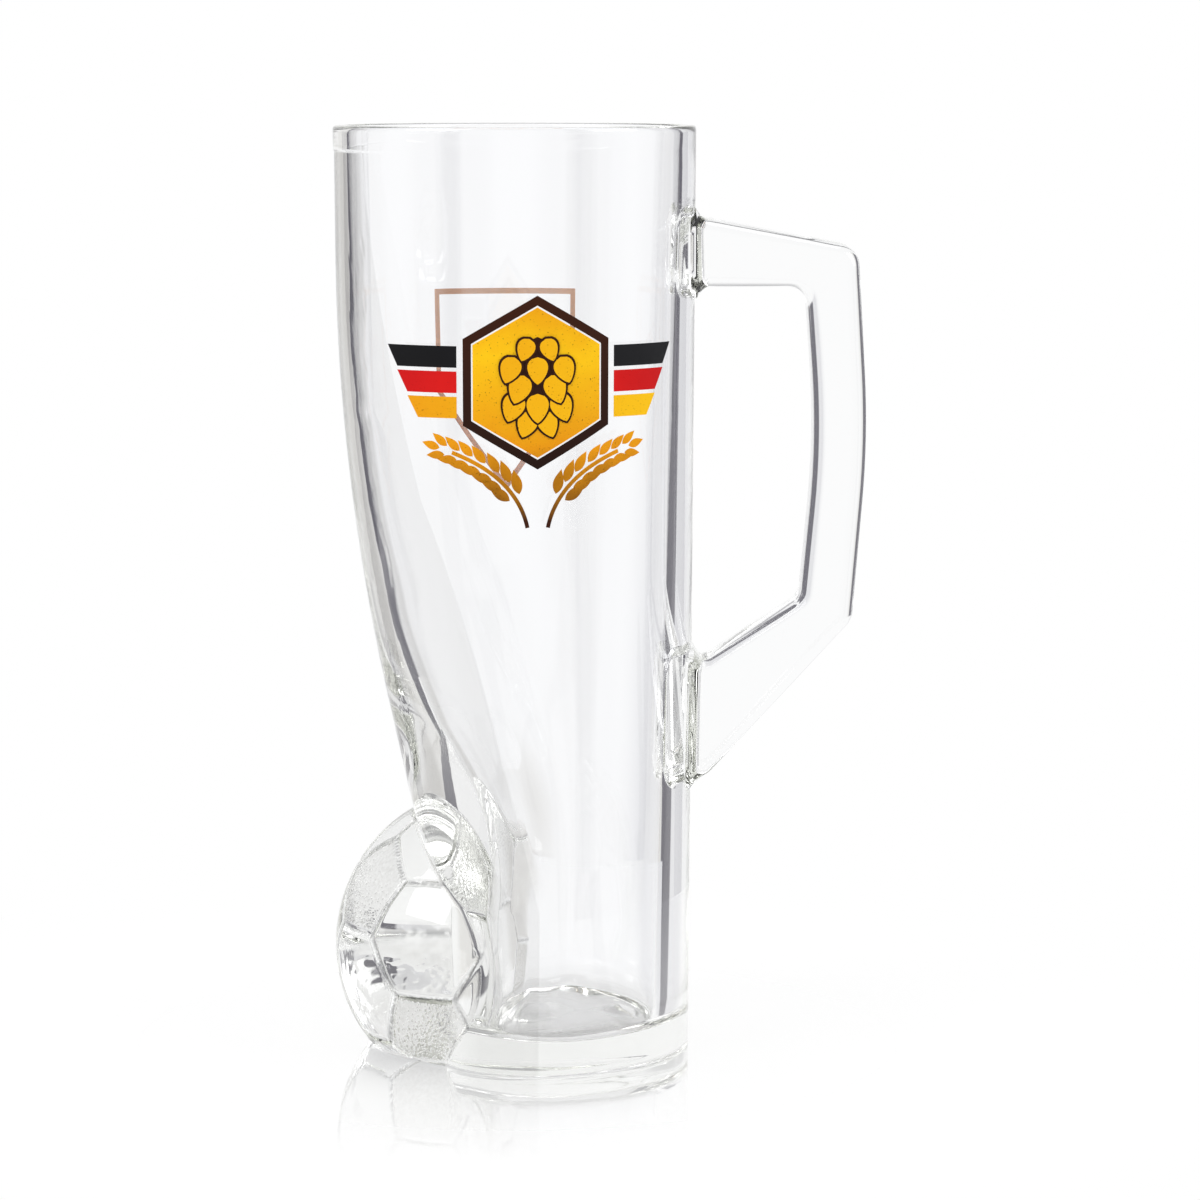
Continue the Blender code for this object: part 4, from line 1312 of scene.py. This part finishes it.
def enamel(name, stops, span, pinholes, cover=1.0):
    """Glossy enamel: a ramp along an axis between two places, clouded and pricked by noise."""
    axis, low, high = span
    material, board = finish(name)
    place = board.node("ShaderNodeTexCoord", {}, {}, "Object")
    along_axis = board.node("ShaderNodeSeparateXYZ", {}, {"Vector": place}, axis)
    cloud = board.node("ShaderNodeTexNoise", {}, {"Vector": place, "Scale": CLOUD_SCALE, "Detail": 3.0})
    share = board.node("ShaderNodeMapRange", {}, {"Value": along_axis, "From Min": low, "From Max": high})
    run = share + (cloud - 0.5) * CLOUD_RUN
    colour = board.node("ShaderNodeValToRGB", {"stops": stops}, {"Fac": run}, "Color")
    specks = board.node("ShaderNodeTexNoise", {}, {"Vector": place, "Scale": PINHOLE_SCALE, "Detail": 1.0})
    hole = board.between(specks, *PINHOLE_LEVELS) * pinholes
    dark = tuple(PINHOLE_SHADE * part for part in stops[0][1][:3]) + (1.0,)
    colour = board.blend(hole, colour, dark)
    bump = {"Strength": ENAMEL_BUMP_SHARE, "Distance": ENAMEL_BUMP, "Height": cloud + specks * SPECK_HEIGHT}
    normal = board.node("ShaderNodeBump", {}, bump)
    roughness = LEAST_ROUGHNESS + cloud * CLOUD_ROUGHNESS
    sockets = {"Base Color": colour, "Roughness": roughness, "Normal": normal}
    sockets |= {"Specular IOR Level": ENAMEL_GLOSS, "Alpha": cover}
    shader = board.node("ShaderNodeBsdfPrincipled", {}, sockets)
    board.node("ShaderNodeOutputMaterial", {}, {"Surface": shader})
    return material


# %% Colours and coats
AMBER = (0.80, 0.31, 0.006, 1.0)
PALE_GOLD = (0.97, 0.56, 0.008, 1.0)
BROWN = (0.045, 0.012, 0.005, 1.0)
DARK_BROWN = (0.016, 0.006, 0.004, 1.0)
BLACK = (0.006, 0.006, 0.007, 1.0)
SOFT_BLACK = (0.012, 0.012, 0.014, 1.0)
RED = (0.78, 0.014, 0.012, 1.0)
DEEP_RED = (0.55, 0.006, 0.008, 1.0)
COPPER = (0.90, 0.30, 0.08, 1.0)
ROSE_GOLD = (1.0, 0.56, 0.30, 1.0)
COPPER_COVER = 0.65
badge_middle = FRONT[1] + BADGE_RISE
bar_span = ("X", -30.0 * MM, 34.0 * MM)
gold_span = ("Z", badge_middle - 30.0 * MM, badge_middle + 18.0 * MM)
brown_span = ("Z", badge_middle - 20.0 * MM, badge_middle + 20.0 * MM)
copper_span = ("Z", BACK[1] - 24.0 * MM, BACK[1] + 24.0 * MM)
# painted shade and painted highlight: brown low down and pale gold high on the badge, over the amber of the
# print
gold_shade_and_highlight_stops = [(0.0, BROWN), (0.35, AMBER), (0.75, PALE_GOLD), (1.0, AMBER)]
gold = enamel("gold_enamel", gold_shade_and_highlight_stops, gold_span, 0.8)
bar_gold = enamel("bar_gold_enamel", [(0.0, AMBER), (1.0, PALE_GOLD)], bar_span, 0.8)
brown = enamel("brown_enamel", [(0.0, DARK_BROWN), (1.0, BROWN)], brown_span, 0.3)
black = enamel("black_enamel", [(0.0, BLACK), (1.0, SOFT_BLACK)], bar_span, 0.2)
red = enamel("red_enamel", [(0.0, DEEP_RED), (0.5, RED), (1.0, DEEP_RED)], bar_span, 0.3)
copper = enamel("copper_enamel", [(0.0, COPPER), (1.0, ROSE_GOLD)], copper_span, 0.5, COPPER_COVER)
bar_coats = {"black": black, "red": red, "gold": bar_gold}
coats = [(badge_rim, brown), (field, gold), (cone, brown), (scales, bar_gold), (scale_edges, brown)]
coats += [(shield_line, copper), (ring_line, copper)]
coats += [(ear, gold) for ear in ears]
coats += [(piece, bar_coats[name.split("_")[1]]) for name, piece in bars.items()]
for piece, coat in coats:
    piece.data.materials.append(coat)
print("coated prints:", len(coats))

# %% [markdown]
# ## Studio
# Glass has no look of its own: it shows what stands round it. A product photographer lights the backdrop,
# not the glass, and stands dark cards just outside the view, which the edges of the glass pick up as
# dark lines. Real cards would darken the whole mug when it is seen from a corner. So the backdrop turns
# grey to both sides for light that has come through the glass, and the dark cards show only to light
# that was mirrored once inside it, or that has passed a single pane.

# %% Cards
RIGHT_CARD = (0.70, 1.1)
LEFT_CARD = (0.82, 1.1)
LEFT_FLOOR_CARD = (0.98, 1.5)
EDGE_CARD = (0.44, 0.84)
RIGHT_GREY = (0.12, 0.32)
LEFT_GREY = (0.24, 0.48)
SIDE_END = (1.2, 1.7)
CORNER = (0.66, 0.90)
CARD_SOFT = 0.04
WALL_EDGE = (36.0 * MM, -10.0 * MM)
LEG_EDGE_PLACE = (20.0 * MM, 0.0)
FAR_AWAY = (0.0, 0.0)
LEAST_FORWARD = 1.0 * MM
SINGLE_PANE = 2.5
DARK_COLOUR = (0.15, 0.145, 0.17, 1.0)
COOL_GREY = (0.80, 0.80, 0.82, 1.0)
WARM_GREY = (0.80, 0.79, 0.77, 1.0)
CEILING_COLOUR = (0.55, 0.55, 0.56, 1.0)
WHITE = (1.0, 1.0, 1.0, 1.0)
LIGHT_LEVEL = 0.72


def card(board, share, limits):
    """1 where the share lies between two limits, with soft ends."""
    low, high = limits
    rise = board.between(share, low, low + CARD_SOFT)
    return rise * (1.0 - board.between(share, high, high + CARD_SOFT))


def glass_path(board):
    """Two marks of the light's way: mirrored once inside the glass, or straight through a single pane."""
    mirror_count = board.node("ShaderNodeLightPath", {}, {}, "Glossy Depth")
    pass_count = board.node("ShaderNodeLightPath", {}, {}, "Transmission Depth")
    trapped = board.math("COMPARE", mirror_count, 1.0)
    return trapped, board.math("LESS_THAN", pass_count, SINGLE_PANE) * (1.0 - trapped)


def side_grey(board, share, limits, trapped):
    """Rises to 1 with the share, and falls past the corner, or before it for light that went straight."""
    grey = board.between(share, *limits) * (1.0 - board.between(share, *SIDE_END))
    return grey * (1.0 - board.between(share, *CORNER) * (1.0 - trapped))


# %% Light on the cards
def card_light(board, place, ways, right_start, left_start, left_card):
    """White down the middle of some ways out from the mug, grey to both sides, and dark on the cards.

    The place is turned into the frame of its nearest way. The share is how far it lies beside a
    start, over how far it lies beyond it. Greys rise with that share, and cards span a range of it.
    """
    east = board.node("ShaderNodeSeparateXYZ", {}, {"Vector": place}, "X")
    north = board.node("ShaderNodeSeparateXYZ", {}, {"Vector": place}, "Y")
    bearing = board.math("ARCTAN2", east, north)
    half_way = math.pi / ways
    turn = board.math("MODULO", bearing + (2.0 * math.pi + half_way), 2.0 * half_way) - half_way
    far = board.math("SQRT", east * east + north * north, 0.0)
    forward = far * board.math("COSINE", turn, 0.0)
    beside = far * board.math("SINE", turn, 0.0)
    shares = []
    for aside, start in ((beside, right_start), (beside * -1.0, left_start)):
        beyond = board.math("MAXIMUM", forward - start[1], LEAST_FORWARD)
        shares.append(board.math("DIVIDE", aside - start[0], beyond))
    right, left = shares
    trapped, one_pane = glass_path(board)
    light = board.blend(side_grey(board, left, LEFT_GREY, trapped), WHITE, WARM_GREY)
    light = board.blend(side_grey(board, right, RIGHT_GREY, trapped), light, COOL_GREY)
    dark = board.math("MAXIMUM", card(board, left, left_card), card(board, right, RIGHT_CARD)) * trapped
    edges = board.math("MAXIMUM", card(board, left, EDGE_CARD), card(board, right, EDGE_CARD)) * one_pane
    return board.blend(board.math("MAXIMUM", dark, edges), light, DARK_COLOUR)


print("right and left card as shares:", RIGHT_CARD, LEFT_CARD)

# %% [markdown]
# ## Backdrop
# The backdrop is the world itself. A curved sheet of paper would do too, but the world is always behind the
# mug, from every side. The camera sees it white, the glass sees it with cards, and what lights the
# print and the floor is a plain level below white.

# %% World
CARD_LEVELS = (-0.46, 0.0)
UNDER_LEVELS = (-0.82, -0.60)
CEILING_LEVELS = (0.35, 0.65)
UNDER_COLOUR = (0.25, 0.25, 0.26, 1.0)


def studio_world():
    """White to the camera and to blurred mirrors, with cards to the glass, and a plain level to the rest."""
    world = bpy.data.worlds.new("studio")
    bpy.context.scene.world = world
    world.use_nodes = True
    board = Board(world.node_tree)
    towards = board.node("ShaderNodeTexCoord", {}, {}, "Generated")
    up = board.node("ShaderNodeSeparateXYZ", {}, {"Vector": towards}, "Z")
    cards = card_light(board, towards, 4, FAR_AWAY, FAR_AWAY, LEFT_CARD)
    cards = board.blend(card(board, up, CARD_LEVELS), WHITE, cards)
    trapped, one_pane = glass_path(board)
    under = card(board, up, UNDER_LEVELS) * board.math("MAXIMUM", trapped, one_pane)
    cards = board.blend(under, cards, UNDER_COLOUR)
    cards = board.blend(board.between(up, *CEILING_LEVELS), cards, CEILING_COLOUR)
    seen = board.node("ShaderNodeLightPath", {}, {}, "Is Camera Ray")
    mirrored = board.node("ShaderNodeLightPath", {}, {}, "Is Glossy Ray")
    through = board.node("ShaderNodeLightPath", {}, {}, "Is Transmission Ray")
    sharp = board.node("ShaderNodeLightPath", {}, {}, "Is Singular Ray")
    from_glass = board.math("MAXIMUM", through, mirrored * sharp)
    plain = board.math("MAXIMUM", seen, mirrored * (1.0 - sharp))
    light = board.blend(from_glass, (LIGHT_LEVEL, LIGHT_LEVEL, LIGHT_LEVEL, 1.0), cards)
    light = board.blend(plain, light, WHITE)
    shade = board.node("ShaderNodeBackground", {}, {"Color": light, "Strength": 1.0})
    board.node("ShaderNodeOutputWorld", {}, {"Surface": shade})


studio_world()
print("backdrop level for lighting:", LIGHT_LEVEL)

# %% [markdown]
# ## Floor
# The mug stands on a white glossy sheet, which mirrors its foot and takes a soft shade. The disc here is
# white to the camera and to mirrors, and both the mirror and the shade fade outwards, so that its rim
# can't be told from the backdrop. To light through the glass it shows dark cards painted into its
# light beside the wall and the leg, which give the glass dark edges.

# %% Floor
FLOOR_RADIUS = 200.0 * MM
FLOOR_SIDES = 96
FLOOR_DROP = 0.05 * MM
MIRROR_SHARE = 0.72
MIRROR_NEAR = 34.0 * MM
MIRROR_FAR = 125.0 * MM
SHADE_SHARE = 0.2
SHADE_FAR = 195.0 * MM
MIRROR_BLUR = 0.03
MATT_WHITE = (0.9, 0.9, 0.9, 1.0)


def studio_floor():
    """A disc: white to rays that show it, carded to the glass, with shade and a mirror that fade outwards."""
    turn = np.linspace(0.0, 2.0 * math.pi, FLOOR_SIDES, endpoint=False)
    level = np.full(FLOOR_SIDES, -FLOOR_DROP)
    edge = np.stack([FLOOR_RADIUS * np.cos(turn), FLOOR_RADIUS * np.sin(turn), level], axis=1)
    mesh = bpy.data.meshes.new("floor")
    mesh.from_pydata(edge.tolist(), [], [list(range(FLOOR_SIDES))])
    floor = bpy.data.objects.new("floor", mesh)
    bpy.context.collection.objects.link(floor)
    material, board = finish("studio_floor")
    place = board.node("ShaderNodeTexCoord", {}, {}, "Object")
    distance = board.node("ShaderNodeVectorMath", {"operation": "LENGTH"}, {0: place}, "Value")
    seen = board.node("ShaderNodeLightPath", {}, {}, "Is Camera Ray")
    mirrored = board.node("ShaderNodeLightPath", {}, {}, "Is Glossy Ray")
    through = board.node("ShaderNodeLightPath", {}, {}, "Is Transmission Ray")
    shown = board.math("MAXIMUM", board.math("MAXIMUM", seen, mirrored), through)
    shade_share = (1.0 - board.between(distance, MIRROR_NEAR, SHADE_FAR)) * SHADE_SHARE
    # painted shade: dark cards in the floor's light, seen only through the glass, placed by the wall and leg
    # edges
    cards = card_light(board, place, 2, WALL_EDGE, LEG_EDGE_PLACE, LEFT_FLOOR_CARD)
    light = board.blend(through, WHITE, cards)
    white = board.node("ShaderNodeEmission", {}, {"Color": light, "Strength": 1.0})
    matt = board.node("ShaderNodeBsdfDiffuse", {}, {"Color": MATT_WHITE})
    body = board.node("ShaderNodeMixShader", {}, {0: shown * (1.0 - shade_share), 1: matt, 2: white})
    gloss = board.node("ShaderNodeBsdfGlossy", {}, {"Color": WHITE, "Roughness": MIRROR_BLUR})
    mirror_share = (1.0 - board.between(distance, MIRROR_NEAR, MIRROR_FAR)) * MIRROR_SHARE * seen
    surface = board.node("ShaderNodeMixShader", {}, {0: mirror_share, 1: body, 2: gloss})
    board.node("ShaderNodeOutputMaterial", {}, {"Surface": surface})
    mesh.materials.append(material)


studio_floor()
print("floor radius in mm:", FLOOR_RADIUS / MM)

# %% [markdown]
# ## Lamps
# Three square softboxes light the print and put soft gloss on the glass. They are weak, because the
# backdrop gives most of the light.

# %% Lamps by name, place, side and power
lamp_places = (
    ("left softbox", (-0.75, -0.55, 0.75), 0.7, 5.0),
    ("right softbox", (0.85, -0.35, 0.60), 0.6, 3.0),
    ("overhead softbox", (0.0, 0.15, 1.15), 0.9, 4.0),
)


def softbox(name, place, size, power):
    """A square area lamp that faces the middle of the mug."""
    lamp = bpy.data.lights.new(name, "AREA")
    lamp.size = size
    lamp.energy = power
    item = bpy.data.objects.new(name, lamp)
    item.location = place
    direction = np.array([0.0, 0.0, MUG_HEIGHT / 2.0]) - np.array(place)
    item.rotation_euler = (
        math.acos(-direction[2] / np.linalg.norm(direction)),
        0.0,
        math.atan2(-direction[0], direction[1]),
    )
    bpy.context.collection.objects.link(item)


for lamp in lamp_places:
    softbox(*lamp)
print("lamps:", len(lamp_places))

# %% [markdown]
# ## Camera
# The camera stands a metre away, a little right of the mug's axis and a little above its rim, and looks
# down by seven degrees through a long lens.

# %% Camera
CAMERA_PLACE = (18.79 * MM, -960.8 * MM, 217.5 * MM)
CAMERA_DOWN = math.radians(6.99)
CAMERA_LENS = 130.3
SENSOR_WIDTH = 36.0
CLIP_START = 0.01


def studio_camera():
    """A camera that looks along +Y, pitched down."""
    data = bpy.data.cameras.new("camera")
    data.lens = CAMERA_LENS
    data.sensor_width = SENSOR_WIDTH
    data.clip_start = CLIP_START
    camera = bpy.data.objects.new("camera", data)
    camera.location = CAMERA_PLACE
    camera.rotation_euler = (math.pi / 2.0 - CAMERA_DOWN, 0.0, 0.0)
    bpy.context.collection.objects.link(camera)
    bpy.context.scene.camera = camera


studio_camera()
bpy.context.scene.view_settings.view_transform = "Standard"
print("camera lens in mm:", CAMERA_LENS)

# %% [markdown]
# ## Light inside the glass
# Light that enters the wall at a slant is mirrored many times inside it before it leaves. Blender follows
# four mirror bounces at first, and the rest would turn black, so more are allowed here.

# %% Bounces
GLASS_BOUNCES = 32
light_paths = bpy.context.scene.cycles
light_paths.max_bounces = GLASS_BOUNCES
light_paths.glossy_bounces = GLASS_BOUNCES
light_paths.transmission_bounces = GLASS_BOUNCES
print("bounces inside the glass:", GLASS_BOUNCES)

# %% Update the scene
bpy.context.view_layer.update()
